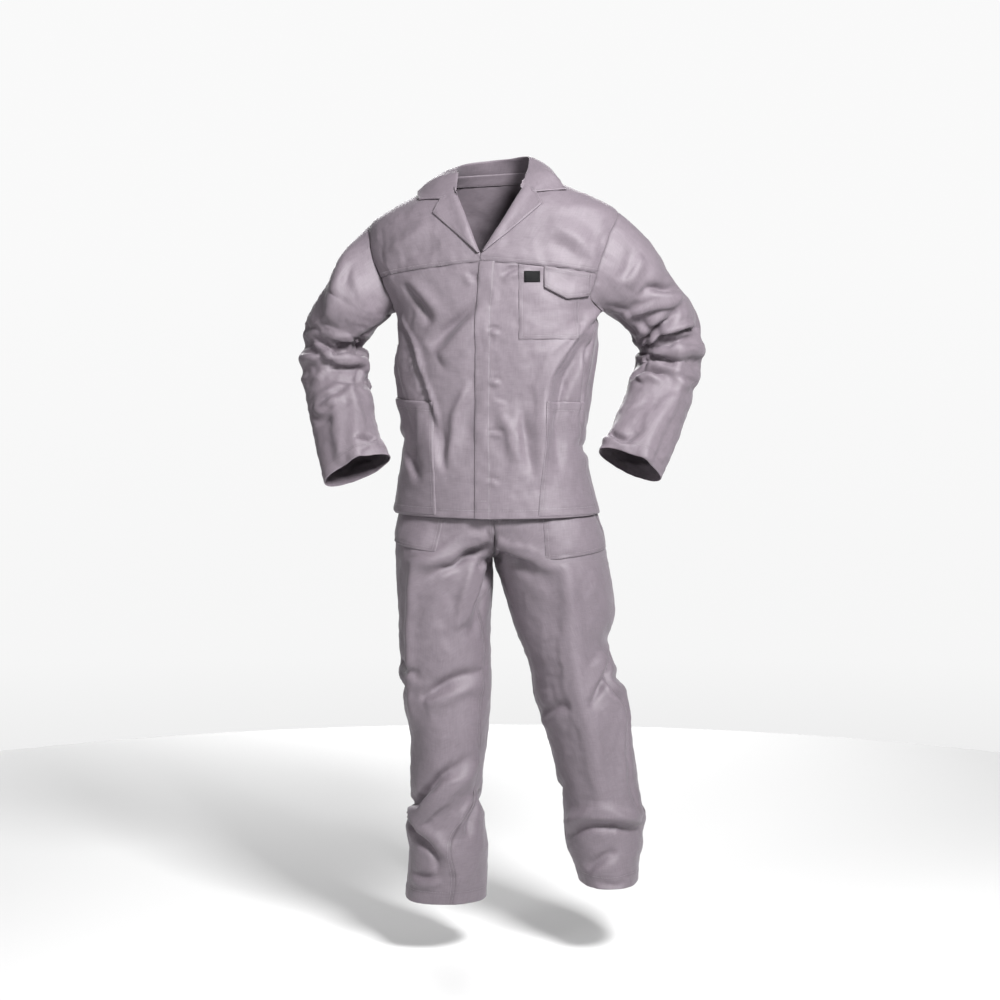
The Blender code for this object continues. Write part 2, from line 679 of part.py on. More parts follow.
# The collar, from its right front end round the back of the neck to its left front end.  The
# outer edge lies on the jacket at a turn and a height; the fold at the top stands free.
CollarRow = namedtuple("CollarRow", "station edge_turn edge_height fold_x fold_y fold_height")
COLLAR_ROWS = [
    CollarRow(0, -66, 1.5040, -0.0660, -0.026, 1.536),
    CollarRow(1, -90, 1.5170, -0.0700, 0.004, 1.549),
    CollarRow(2, -118, 1.5180, -0.0640, 0.036, 1.557),
    CollarRow(3, -146, 1.5110, -0.0430, 0.062, 1.565),
    CollarRow(4, -180, 1.5060, -0.0040, 0.076, 1.571),
    CollarRow(5, -214, 1.5120, 0.0390, 0.062, 1.574),
    CollarRow(6, -242, 1.5190, 0.0650, 0.032, 1.575),
    CollarRow(7, -270, 1.5180, 0.0725, -0.002, 1.569),
    CollarRow(8, -292, 1.5060, 0.0690, -0.036, 1.544),
]
COLLAR_SWELL = 0.008       # how far the fall arches over the neck seam
NECK_SEAM_INSET = 0.04     # the collar starts this share of its stand inside the neck edge
COLLAR_LIFT = 0.0050       # the fall's outer edge stands this far off the jacket
# Its front ends: the end of the gorge on the roll line, the notch, and the collar's point.
CollarEnd = namedtuple("CollarEnd", "roll_height notch point")
RIGHT_COLLAR_END = CollarEnd(1.4935, Mark(1.4875, -0.099), Mark(1.489, -0.141))
LEFT_COLLAR_END = CollarEnd(1.5015, Mark(1.4925, 0.086), Mark(1.496, 0.143))


def collar_end(side, end, roll):
    """The collar's line at a front end: along the gorge to the notch, then to its point."""
    start = Mark(end.roll_height, mark(roll, end.roll_height) + side * 0.002)
    half_way = Mark((start.height + end.notch.height) / 2, (start.place + end.notch.place) / 2)
    line = []
    for spot in (start, half_way, end.notch, end.point):
        point, normal = yoke_place(side, spot.place, spot.height)
        line.append(point + normal * COLLAR_LIFT)
    tuck = Vector((-side * 0.004, 0.003, 0.001))       # the gorge's end, turned in
    return [line[0] + tuck * 2, line[0] + tuck] + line


def collar_line(station):
    """The collar's line at a station: neck seam, stand, fold, fall and outer edge."""
    turn, edge_height, fold_x, fold_y, fold_height = (
        column(COLLAR_ROWS, name, station, "station") for name in CollarRow._fields[1:])
    seam = lowered(jacket_point(turn, NECK + 0.001))
    fold = lowered(Vector((fold_x, fold_y, fold_height)))
    seam = seam.lerp(fold, NECK_SEAM_INSET)
    edge = lowered(jacket_point(turn, edge_height))
    edge += normal_at(jacket_point, turn, edge_height) * COLLAR_LIFT
    swell = normal_at(jacket_point, turn, NECK) * COLLAR_SWELL
    return [seam, seam.lerp(fold, 0.6), fold,
            fold.lerp(edge, 0.33) + swell, fold.lerp(edge, 0.67) + swell, edge]


def build_collar(parent):
    last = COLLAR_ROWS[-1].station
    points = [collar_end(-1, RIGHT_COLLAR_END, RIGHT_EDGE)]
    points += [collar_line(station) for station in evenly(0, last, 2 * last)]
    points.append(collar_end(1, LEFT_COLLAR_END, LEFT_EDGE))
    wall("collar", Sheet(points, grid_normals(points)), parent, thick=DOUBLE)


# ---------------------------------------------------------------- trousers
def hip_turn(side, share):
    """Turn of a leg's column above the crotch.  share runs 0 to 1 from front to back seam."""
    if share <= 0.5:
        return side * (side * FLY_TURN + (90 - side * FLY_TURN) * (2 * share) ** HIP_EASE)
    back = 180 + side * FLY_TURN
    return side * (back - (back - 90) * (2 - 2 * share) ** HIP_EASE)


def leg_point(side, rows, share, height):
    """A point of a trouser leg, from the hem to the waistband."""
    low = min(height, CROTCH)
    inner, outer = column(rows, "inner", low), column(rows, "outer", low)
    front, back = column(rows, "front", low), column(rows, "back", low)
    angle = 2 * math.pi * share
    out = fold_out(LEG_FOLDS[side], 360 * share, height, LEG_GIRTH)
    leg = Vector(((inner + outer) / 2 + (inner - outer) / 2 * bulge(math.cos(angle))
                  - side * out * math.cos(angle),
                  (front + back) / 2 + (front - back) / 2 * bulge(math.sin(angle))
                  - out * math.sin(angle),
                  height))
    if height <= CROTCH:
        return leg
    share = min(max(share, 0.0), 1.0)
    hips = ring_point(TROUSER_RINGS, hip_turn(side, share), height)
    if height >= RISE:
        return hips
    fall = (RISE - height) / (RISE - CROTCH)
    under = 1 - math.sqrt(1 - fall ** 2)          # the centre seam runs flat, then dives
    over = fall * fall * (3 - 2 * fall)           # the rest changes shape evenly
    near = abs(math.cos(math.pi * share)) ** 3
    return hips.lerp(leg, lerp(over, under, near))


def leg_sheet(side, rows, hem, first, last):
    """One panel of a leg between two shares of the way round it."""
    heights = evenly(hem, CROTCH, LEG_STEPS_BELOW) + RISE_HEIGHTS
    points = []
    for height in heights:
        points.append([lowered(leg_point(side, rows, lerp(first, last, j / LEG_COLUMNS), height))
                       for j in range(LEG_COLUMNS + 1)])
    normals = []
    for i, height in enumerate(heights):
        line = []
        for j in range(LEG_COLUMNS + 1):
            share = lerp(first, last, j / LEG_COLUMNS)
            around = (leg_point(side, rows, share + 0.012, height)
                      - leg_point(side, rows, share - 0.012, height))
            up = (leg_point(side, rows, share, height + 0.006)
                  - leg_point(side, rows, share, height - 0.006))
            line.append((around.cross(up) * side).normalized())
        normals.append(line)
    return Sheet(points, normals)


HIP_POCKETS = {
    -1: [Spot(-0.300, 0.823), Spot(-0.185, 0.815), Spot(-0.107, 0.807), Spot(-0.072, 0.960),
         Spot(-0.300, 0.960)],
    1: [Spot(0.103, 0.794), Spot(0.158, 0.795), Spot(0.300, 0.835), Spot(0.300, 0.960),
        Spot(0.092, 0.960)]}
FLY = [Spot(-0.100, 0.862), Spot(0.015, 0.862), Spot(0.038, 0.895), Spot(0.040, 1.030),
       Spot(-0.100, 1.030)]


def build_trousers(parent):
    for side, rows, hem, word in ((-1, RIGHT_LEG, RIGHT_HEM, "right"),
                                  (1, LEFT_LEG, LEFT_HEM, "left")):
        front = leg_sheet(side, rows, hem, 0.0, 0.5)
        back = leg_sheet(side, rows, hem, 0.5, 1.0)
        wall(word + "_leg_front", front, parent)
        wall(word + "_leg_back", back, parent)
        patch(word + "_hip_pocket", front, HIP_POCKETS[side], parent, PATCH, LAID)
        if side > 0:
            patch("fly", front, FLY, parent, PATCH, LAID)
    build_waistband(parent)


def build_waistband(parent):
    count = 28
    points = []
    for height in (WAISTBAND_BOTTOM, WAISTBAND_TOP):
        points.append([lowered(ring_point(TROUSER_RINGS, FLY_TURN + 360 * j / count, height))
                       for j in range(count)])
    wall("waistband", Sheet(points, grid_normals(points, closed=True), closed=True), parent,
         thick=DOUBLE)


def main():
    for old in list(bpy.data.objects):
        bpy.data.objects.remove(old, do_unlink=True)
    wearer = bpy.data.objects.new("shoulder_mount", None)
    bpy.context.collection.objects.link(wearer)
    build_jacket(wearer)
    build_trousers(wearer)


main()
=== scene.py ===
"""Looks of a worn two-piece work suit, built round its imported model.

Metres, +Z up.  The front faces -Y and the wearer's left is +X.  Heights in the tables are above
the wearer's soles; the origin of the model is the shoulder mount, HOLD_HEIGHT above them.  Every
piece is a double-walled sheet of cloth on the surface that its CAD wall was made from, with seams,
hems and creases moved into it.
"""
import functools
import itertools
import math
from collections import namedtuple

import bmesh
import bpy
import numpy as np
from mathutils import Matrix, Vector
from mathutils.bvhtree import BVHTree


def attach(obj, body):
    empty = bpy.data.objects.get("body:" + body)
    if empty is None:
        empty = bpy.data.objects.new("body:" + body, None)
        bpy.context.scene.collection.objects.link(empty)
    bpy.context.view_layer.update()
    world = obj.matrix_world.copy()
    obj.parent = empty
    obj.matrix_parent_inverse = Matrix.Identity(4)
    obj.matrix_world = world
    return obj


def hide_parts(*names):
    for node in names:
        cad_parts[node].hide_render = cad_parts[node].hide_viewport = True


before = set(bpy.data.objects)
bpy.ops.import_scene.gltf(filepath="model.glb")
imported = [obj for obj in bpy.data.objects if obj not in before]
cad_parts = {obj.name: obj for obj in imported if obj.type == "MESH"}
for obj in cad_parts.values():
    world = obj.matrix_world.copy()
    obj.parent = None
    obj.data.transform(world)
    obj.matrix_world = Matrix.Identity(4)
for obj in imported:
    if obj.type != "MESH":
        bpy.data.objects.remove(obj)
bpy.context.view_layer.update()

# ---------------- driving dimensions
HOLD_HEIGHT = 1.5
FACING = math.radians(13)  # how far the body is turned to the wearer's right
ROUND = 0.92               # below 1 a ring is squarer than an ellipse
ARMPIT, SHOULDER, NECK = 1.27, 1.457, 1.536
CROTCH, RISE = 0.79, 0.885
WAISTBAND_BOTTOM, WAISTBAND_TOP = 1.036, 1.078
FLY_TURN = 6.0
SIDE_SEAM = 84.0
PLACKET_WIDTH = 0.03
HIP_EASE = 1.55
CELL = 0.0046              # size of the mesh cells of the cloth
CLOTH = 0.0011             # thickness of the cloth as shown
CREASE_GAIN = 2.1          # how deep the creases in the tables below are pressed

Ring = namedtuple("Ring", "height half_width front back middle_x middle_y roll",
                  defaults=(0.0, 0.0))
JACKET_RINGS = [
    Ring(0.85, 0.2085, 0.148, 0.154, 0.011),
    Ring(0.94, 0.1915, 0.144, 0.148, 0.006),
    Ring(1.0, 0.182, 0.138, 0.132, 0.004),
    Ring(1.06, 0.184, 0.134, 0.123, 0.004),
    Ring(1.12, 0.191, 0.133, 0.12, 0.001),
    Ring(1.174, 0.198, 0.135, 0.123, 0.002),
    Ring(1.22, 0.198, 0.136, 0.127, 0.01),
    Ring(1.27, 0.205, 0.135, 0.13, 0.012, 0.002, 0.005),
    Ring(1.32, 0.231, 0.132, 0.131, 0.007, 0.004, 0.01),
    Ring(1.37, 0.252, 0.128, 0.13, 0.004, 0.007, 0.016),
    Ring(1.415, 0.256, 0.12, 0.124, 0.004, 0.01, 0.024),
    Ring(1.457, 0.244, 0.106, 0.11, 0.004, 0.014, 0.03),
    Ring(1.485, 0.199, 0.092, 0.096, 0.004, 0.017, 0.033),
    Ring(1.512, 0.138, 0.075, 0.082, 0.004, 0.021, 0.035),
    Ring(1.536, 0.09, 0.058, 0.069, 0.004, 0.025, 0.036),
    Ring(1.556, 0.074, 0.05, 0.064, 0.004, 0.028, 0.036),
]
TROUSER_RINGS = [
    Ring(0.78, 0.208, 0.136, 0.146, 0.016),
    Ring(0.84, 0.203, 0.137, 0.145, 0.012),
    Ring(0.9, 0.191, 0.132, 0.139, 0.008),
    Ring(0.95, 0.1825, 0.129, 0.133, 0.005),
    Ring(1.0, 0.1755, 0.123, 0.122, 0.004),
    Ring(1.04, 0.1715, 0.117, 0.113, 0.004),
    Ring(1.08, 0.1695, 0.114, 0.109, 0.004),
]

Mark = namedtuple("Mark", "height place")
ARMHOLE_FRONT = [Mark(ARMPIT, 84), Mark(1.29, 67), Mark(1.32, 64), Mark(1.36, 63),
                 Mark(1.4, 67), Mark(1.43, 75), Mark(SHOULDER, 90)]
ARMHOLE_BACK = [Mark(ARMPIT, 84), Mark(1.29, 98), Mark(1.32, 110), Mark(1.36, 116),
                Mark(1.4, 113), Mark(1.43, 105), Mark(SHOULDER, 90)]
RIGHT_EDGE = [Mark(0.85, 0.004), Mark(1.33, 0.004), Mark(1.365, -0.008), Mark(1.378, -0.021),
              Mark(1.435, -0.043), Mark(1.492, -0.065), Mark(1.512, -0.074), Mark(1.536, -0.086)]
LEFT_EDGE = [Mark(0.85, -0.033), Mark(1.135, -0.032), Mark(1.26, -0.03), Mark(1.304, -0.027),
             Mark(1.365, -0.023), Mark(1.378, -0.021), Mark(1.435, 0.014), Mark(1.5, 0.055),
             Mark(1.518, 0.068), Mark(1.536, 0.083)]
FRONT_EDGES = {-1: RIGHT_EDGE, 1: LEFT_EDGE}
Row = namedtuple("Row", "side centre")
HEM_ROW, SEAM_ROW = Row(0.877, 0.873), Row(1.338, 1.365)

Section = namedtuple("Section", "x y height across deep tilt")
SLEEVES = {-1: [
    Section(-0.26, 0.05, 1.298, 0.068, 0.076, 30),
    Section(-0.299, 0.068, 1.252, 0.065, 0.072, 20),
    Section(-0.316, 0.078, 1.203, 0.061, 0.066, 6),
    Section(-0.312, 0.066, 1.146, 0.066, 0.058, 4),
    Section(-0.3, 0.032, 1.078, 0.067, 0.05, 3),
    Section(-0.287, -0.004, 1.028, 0.065, 0.045, -2),
    Section(-0.272, -0.036, 0.988, 0.066, 0.041, -14),
    Section(-0.262, -0.056, 0.962, 0.068, 0.034, -23),
], 1: [
    Section(0.283, 0.004, 1.31, 0.072, 0.074, 35),
    Section(0.337, 0.03, 1.254, 0.067, 0.072, 23),
    Section(0.352, 0.048, 1.204, 0.065, 0.066, 9),
    Section(0.344, 0.04, 1.145, 0.067, 0.058, 1),
    Section(0.319, 0.004, 1.076, 0.067, 0.05, -8),
    Section(0.292, -0.04, 1.018, 0.067, 0.044, -14),
    Section(0.266, -0.074, 0.975, 0.067, 0.034, -26),
]}
ARM_STEPS, YOKE_STEP = 9, 3        # the yoke seam meets the armhole at its third station
ARMHOLE_PUFF = 0.01

Leg = namedtuple("Leg", "height inner outer front back")
LEGS = {-1: [
    Leg(0.095, -0.015, -0.175, -0.082, 0.086),
    Leg(0.16, -0.011, -0.169, -0.09, 0.088),
    Leg(0.21, -0.008, -0.165, -0.094, 0.088),
    Leg(0.254, -0.014, -0.171, -0.096, 0.088),
    Leg(0.3, -0.022, -0.157, -0.098, 0.086),
    Leg(0.35, -0.018, -0.162, -0.101, 0.083),
    Leg(0.44, -0.008, -0.162, -0.108, 0.08),
    Leg(0.51, -0.003, -0.176, -0.112, 0.082),
    Leg(0.58, -0.002, -0.18, -0.112, 0.09),
    Leg(0.66, -0.003, -0.185, -0.114, 0.102),
    Leg(0.73, 0.003, -0.189, -0.124, 0.12),
    Leg(CROTCH, 0.001, -0.19, -0.13, 0.138),
], 1: [
    Leg(0.118, 0.183, 0.289, -0.112, 0.092),
    Leg(0.18, 0.162, 0.292, -0.112, 0.094),
    Leg(0.22, 0.147, 0.301, -0.11, 0.093),
    Leg(0.28, 0.143, 0.301, -0.108, 0.09),
    Leg(0.345, 0.133, 0.289, -0.108, 0.086),
    Leg(0.44, 0.107, 0.277, -0.112, 0.082),
    Leg(0.51, 0.085, 0.27, -0.114, 0.084),
    Leg(0.564, 0.076, 0.25, -0.114, 0.09),
    Leg(0.62, 0.058, 0.228, -0.114, 0.096),
    Leg(0.674, 0.039, 0.243, -0.116, 0.104),
    Leg(0.73, 0.021, 0.239, -0.124, 0.12),
    Leg(CROTCH, 0.001, 0.226, -0.13, 0.138),
]}
HEMS = {-1: 0.109, 1: 0.147}
SIDES = ((-1, "right"), (1, "left"))

# The largest folds, as in the CAD walls: a ridge (out > 0) or trough between two places, each a
# turn in degrees and a height, or on a sleeve a share of its length.
Fold = namedtuple("Fold", "turn_a along_a turn_b along_b width out")
BODY_FOLDS = [
    Fold(-78, 1.25, -42, 0.97, 0.02, -0.006),
    Fold(-66, 1.23, -30, 0.96, 0.03, 0.004),
    Fold(62, 1.24, 34, 1.1, 0.024, -0.006),
    Fold(74, 1.18, 46, 1.06, 0.022, 0.005),
    Fold(150, 1.26, 172, 0.95, 0.03, 0.005),
    Fold(-146, 1.26, -168, 0.95, 0.03, 0.005),
    Fold(128, 1.02, 232, 1.02, 0.03, -0.006),
]
SLEEVE_FOLDS = [
    Fold(20, 0.36, 150, 0.4, 0.03, -0.008),
    Fold(10, 0.45, 160, 0.46, 0.024, 0.007),
    Fold(30, 0.53, 165, 0.52, 0.026, -0.008),
    Fold(60, 0.62, 160, 0.58, 0.026, 0.005),
]
LEG_FOLDS = {
    -1: [Fold(30, 0.375, 130, 0.31, 0.036, 0.006),
         Fold(40, 0.32, 120, 0.255, 0.034, -0.005),
         Fold(60, 0.53, 160, 0.545, 0.036, -0.004)],
    1: [Fold(50, 0.205, 150, 0.245, 0.036, -0.006),
        Fold(50, 0.26, 150, 0.3, 0.036, 0.004),
        Fold(120, 0.56, 180, 0.54, 0.036, -0.005)]}
LEG_GIRTH, SLEEVE_GIRTH, SLEEVE_LENGTH = 0.52, 0.42, 0.56


# ---------------- numbers
def eased(stations, values, at):
    """A smooth curve through rising stations, level beyond its ends, at many places at once.

    values is one number a station, or an array of points a station with one column a place.
    """
    stations, values = np.asarray(stations, float), np.asarray(values, float)
    at = np.clip(at, stations[0], stations[-1])
    count = len(stations)
    k = np.clip(np.searchsorted(stations, at, side="right") - 1, 0, count - 2)
    before, after = np.maximum(np.arange(count) - 1, 0), np.minimum(np.arange(count) + 1, count - 1)
    run = (stations[after] - stations[before]).reshape((-1,) + (1,) * (values.ndim - 1))
    slopes = (values[after] - values[before]) / run
    span = stations[k + 1] - stations[k]
    share = (at - stations[k]) / span

    def picked(table, row):
        return table[row] if table.ndim == 1 else table[row, np.arange(len(row))]

    if values.ndim == 3:
        span, share = span[:, None], share[:, None]
    square, cube = share * share, share ** 3
    return ((2 * cube - 3 * square + 1) * picked(values, k)
            + (cube - 2 * square + share) * span * picked(slopes, k)
            + (3 * square - 2 * cube) * picked(values, k + 1)
            + (cube - square) * span * picked(slopes, k + 1))


def columns(rows, at):
    """Every column of a table but its first, at places along the first."""
    stations, *values = zip(*rows)
    return [eased(stations, column, at) for column in values]


def straight(rows, at):
    """The same with straight lines between the rows."""
    stations, *values = zip(*rows)
    return [np.interp(at, stations, column) for column in values]


def mark(marks, height):
    return columns(marks, height)[0]


def lerp(a, b, share):
    return a + (b - a) * share


def unit(vectors):
    return vectors / np.maximum(np.linalg.norm(vectors, axis=-1, keepdims=True), 1e-9)


def bulge(value):
    return np.sign(value) * np.abs(value) ** ROUND


def smooth(low, high, value):
    share = np.clip((value - low) / (high - low), 0.0, 1.0)
    return share * share * (3 - 2 * share)


def bell(away, width):
    """1 at no distance, falling to 0.37 at a width and to about 0 at two."""
    return np.exp(-(away / width) ** 2)


def eased_arrays(stations, values, at):
    """A smooth curve through whole arrays, one for each station."""
    flat = np.reshape(values, (len(stations), 1, -1)).repeat(len(at), 1)
    return eased(stations, flat, at).reshape((len(at),) + np.shape(values)[1:])


def noise(points, size, seed):
    """Smooth noise of about -1 to 1 at points, with features of a given size."""
    place = points / size + (seed * 7.31, seed * 3.17, seed * 5.73)
    cell = np.floor(place).astype(np.int64)
    part = place - cell
    fade = part ** 3 * (part * (part * 6 - 15) + 10)
    total = np.zeros(len(points))
    for corner in itertools.product((0, 1), repeat=3):
        c = np.array(corner)
        x, y, z = (cell + c).T
        h = (x * 73856093) ^ (y * 19349663) ^ (z * 83492791) ^ (seed * 40503)
        h = (h ^ (h >> 13)) * 1274126177 & 0xffffffff
        h = h ^ (h >> 16)
        swing = (h & 1023) / 1023 * 2 * math.pi
        rise = ((h >> 10) & 1023) / 511.5 - 1
        flat = np.sqrt(1 - rise ** 2)
        slope = np.stack([flat * np.cos(swing), flat * np.sin(swing), rise], 1)
        weight = np.prod(np.where(c, fade, 1 - fade), axis=1)
        total += weight * np.sum(slope * (part - c), axis=1)
    return total * 1.6


def run_along(line):
    """The length from a line's start to each of its points."""
    return np.concatenate([[0], np.cumsum(np.linalg.norm(np.diff(line, axis=0), axis=1))])


def at_places(places, run, line):
    """The points at places along a line."""
    return np.stack([np.interp(places, run, line[:, axis]) for axis in range(3)], -1)


# ---------------- the surfaces under the cloth
def fold_out(folds, turn, along, girth, length=1.0):
    out = np.zeros(len(turn))
    place = np.stack([turn * girth / 360, along * length], 1)
    for fold in folds:
        start = np.array((fold.turn_a * girth / 360, fold.along_a * length))
        run = np.array((fold.turn_b * girth / 360, fold.along_b * length)) - start
        share = np.clip((place - start) @ run / (run @ run), 0, 1)
        clear = np.linalg.norm(place - start - share[:, None] * run, axis=1)
        out += fold.out * bell(clear, fold.width)
    return out


def ring_point(rings, turn, height, out=0.0):
    """Points of a body's surface.  turn is 0 at the centre front, +90 at the left side."""
    half_width, front, back, middle_x, middle_y, roll = columns(rings, height)
    angle = np.radians(turn)
    side = (half_width + out) * bulge(np.sin(angle))
    ahead = (np.where(np.cos(angle) > 0, front, back) + out) * bulge(np.cos(angle))
    return np.stack([middle_x + side * math.cos(FACING) - ahead * math.sin(FACING),
                     middle_y - side * math.sin(FACING) - ahead * math.cos(FACING),
                     height + roll * side - HOLD_HEIGHT], 1)


def jacket_base(turn, height):
    turn = (turn + 180) % 360 - 180
    out = fold_out(BODY_FOLDS, turn, height, 1.0) + fold_out(BODY_FOLDS, turn + 360, height, 1.0)
    fade = np.clip((ARMPIT + 0.02 - height) / 0.04, 0.0, 1.0)
    return ring_point(JACKET_RINGS, turn, height, out * fade)


def crossing(surface_x, low, high, x, height):
    """The place between low and high at which a surface passes x, at each height."""
    x, height = np.broadcast_arrays(np.asarray(x, float), np.asarray(height, float))
    shape, x, height = x.shape, x.ravel(), height.ravel()
    low, high = np.full(len(x), low), np.full(len(x), high)
    for _ in range(24):
        middle = (low + high) / 2
        short = surface_x(middle, height) < x
        low, high = np.where(short, middle, low), np.where(short, high, middle)
    return ((low + high) / 2).reshape(shape)


def turn_at(x, height):
    """The turn in front at which the jacket passes x."""
    return crossing(lambda turn, at: jacket_base(turn, at)[:, 0], -84.0, 84.0, x, height)


def normals_of(point, around, along, around_step, along_step):
    """Which way is out of a surface, from its slopes around and along it."""
    across = point(around + around_step, along) - point(around - around_step, along)
    up = point(around, along + along_step) - point(around, along - along_step)
    return unit(np.cross(across, up))


def jacket_normal(turn, height):
    return normals_of(jacket_base, turn, height, 1.5, 0.004)


ARM_HEIGHTS = np.linspace(ARMPIT, SHOULDER, ARM_STEPS + 1)
ARM_HEIGHTS[YOKE_STEP] = SEAM_ROW.side


class Sleeve:
    """The tube of a sleeve.  turn is 0 at the shoulder or outer side and 90 in front."""

    def __init__(self, side):
        self.side = side
        self.sections = SLEEVES[side]
        self.length = float(len(self.sections))
        samples = np.linspace(0, self.length, 161)
        ring = np.arange(24) * 15.0
        at, turn = np.meshgrid(samples, ring, indexing="ij")
        raw = self.raw(turn.ravel(), at.ravel()).reshape(len(samples), 24, 3)
        self.samples, self.middles = samples, raw.mean(axis=1)

    def armhole(self, turn):
        """The jacket's turn and height at the armhole, for a turn round the sleeve."""
        k = turn % 360 * (2 * ARM_STEPS) / 360
        up = np.where(k < ARM_STEPS, ARM_STEPS - k, k - ARM_STEPS)
        height = np.interp(up, np.arange(ARM_STEPS + 1), ARM_HEIGHTS)
        place = np.where(k < ARM_STEPS, mark(ARMHOLE_FRONT, height), mark(ARMHOLE_BACK, height))
        return self.side * place, height

    def raw(self, turn, at):
        body_turn, body_height = self.armhole(turn)
        start = jacket_base(body_turn, body_height)
        away = jacket_normal(body_turn, body_height)
        angle = np.radians(turn)
        values = [start]
        for n, section in enumerate(self.sections):
            after = self.sections[min(n + 1, len(self.sections) - 1)]
            before = self.sections[max(n - 1, 0)]
            run = np.array((after.x - before.x, after.y - before.y, after.height - before.height))
            tilt = math.radians(section.tilt)
            outer = np.array((self.side * math.cos(tilt), 0.0, math.sin(tilt)))
            ahead = unit(np.cross(unit(run), outer))
            ahead = -ahead if ahead[1] > 0 else ahead
            middle = np.array((section.x, section.y, section.height - HOLD_HEIGHT))
            values.append(middle + np.cos(angle)[:, None] * outer * section.across
                          + np.sin(angle)[:, None] * ahead * section.deep)
        stations = [0.0] + [1.0 + n for n in range(len(self.sections))]
        points = eased(stations, np.array(values), at)
        puff = np.where(at < 1, ARMHOLE_PUFF * 4 * at * (1 - at), 0.0)
        return points + away * puff[:, None]

    def point(self, turn, at):
        points = self.raw(turn, at)
        middle = at_places(at, self.samples, self.middles)
        out = fold_out(SLEEVE_FOLDS, turn % 360, at / self.length, SLEEVE_GIRTH, SLEEVE_LENGTH)
        return points + unit(points - middle) * out[:, None]

    def normal(self, turn, at):
        return normals_of(self.point, turn, at, 1.5, 0.03) * self.side


def hip_turn(side, share):
    share = np.clip(share, 0.0, 1.0)
    front = side * FLY_TURN + (90 - side * FLY_TURN) * np.minimum(2 * share, 1) ** HIP_EASE
    back = 180 + side * FLY_TURN
    behind = back - (back - 90) * np.clip(2 - 2 * share, 0, 1) ** HIP_EASE
    return side * np.where(share <= 0.5, front, behind)


def leg_base(side, share, height):
    """Points of a trouser leg.  share is 0 at the inseam, .25 in front and .5 at the side."""
    inner, outer, front, back = columns(LEGS[side], np.minimum(height, CROTCH))
    angle = 2 * math.pi * share
    out = fold_out(LEG_FOLDS[side], 360 * share, height, LEG_GIRTH)
    leg = np.stack([(inner + outer) / 2 + (inner - outer) / 2 * bulge(np.cos(angle))
                    - side * out * np.cos(angle),
                    (front + back) / 2 + (front - back) / 2 * bulge(np.sin(angle))
                    - out * np.sin(angle),
                    height - HOLD_HEIGHT], 1)
    hips = ring_point(TROUSER_RINGS, hip_turn(side, share), height)
    fall = np.clip((RISE - height) / (RISE - CROTCH), 0.0, 1.0)
    under = 1 - np.sqrt(1 - fall ** 2)
    over = fall * fall * (3 - 2 * fall)
    near = np.abs(np.cos(math.pi * np.clip(share, 0.0, 1.0))) ** 3
    return lerp(hips, leg, lerp(over, under, near)[:, None])


def leg_normal(side, share, height):
    return normals_of(functools.partial(leg_base, side), share, height, 0.012, 0.006) * side


def share_at(side, x, height):
    """The share in front at which a trouser leg passes x."""
    return crossing(lambda share, at: side * leg_base(side, share, at)[:, 0], 0.0, 0.5,
                    side * np.asarray(x), height)


# ---------------- creases
# A crease is a ridge (out > 0) or a trough along a line of spots, seen square from one side of
# the garment: across is x from the front or back, y from the left or right.  Its partner, of the
# other sign, lies beside it: on the right hand of someone walking along the line if pair > 0.
# sharp goes from 0, a soft swell, to 1, a knife edge.  peak is where along it it is highest.
Crease = namedtuple("Crease", "seen width flare out pair sharp peak spots")


def crease_list(tables):
    """Creases from a table for each view: width, flare, out, pair, sharp, peak, then the spots."""
    return [Crease(seen, *row[:6], row[6:]) for seen, rows in tables.items() for row in rows]


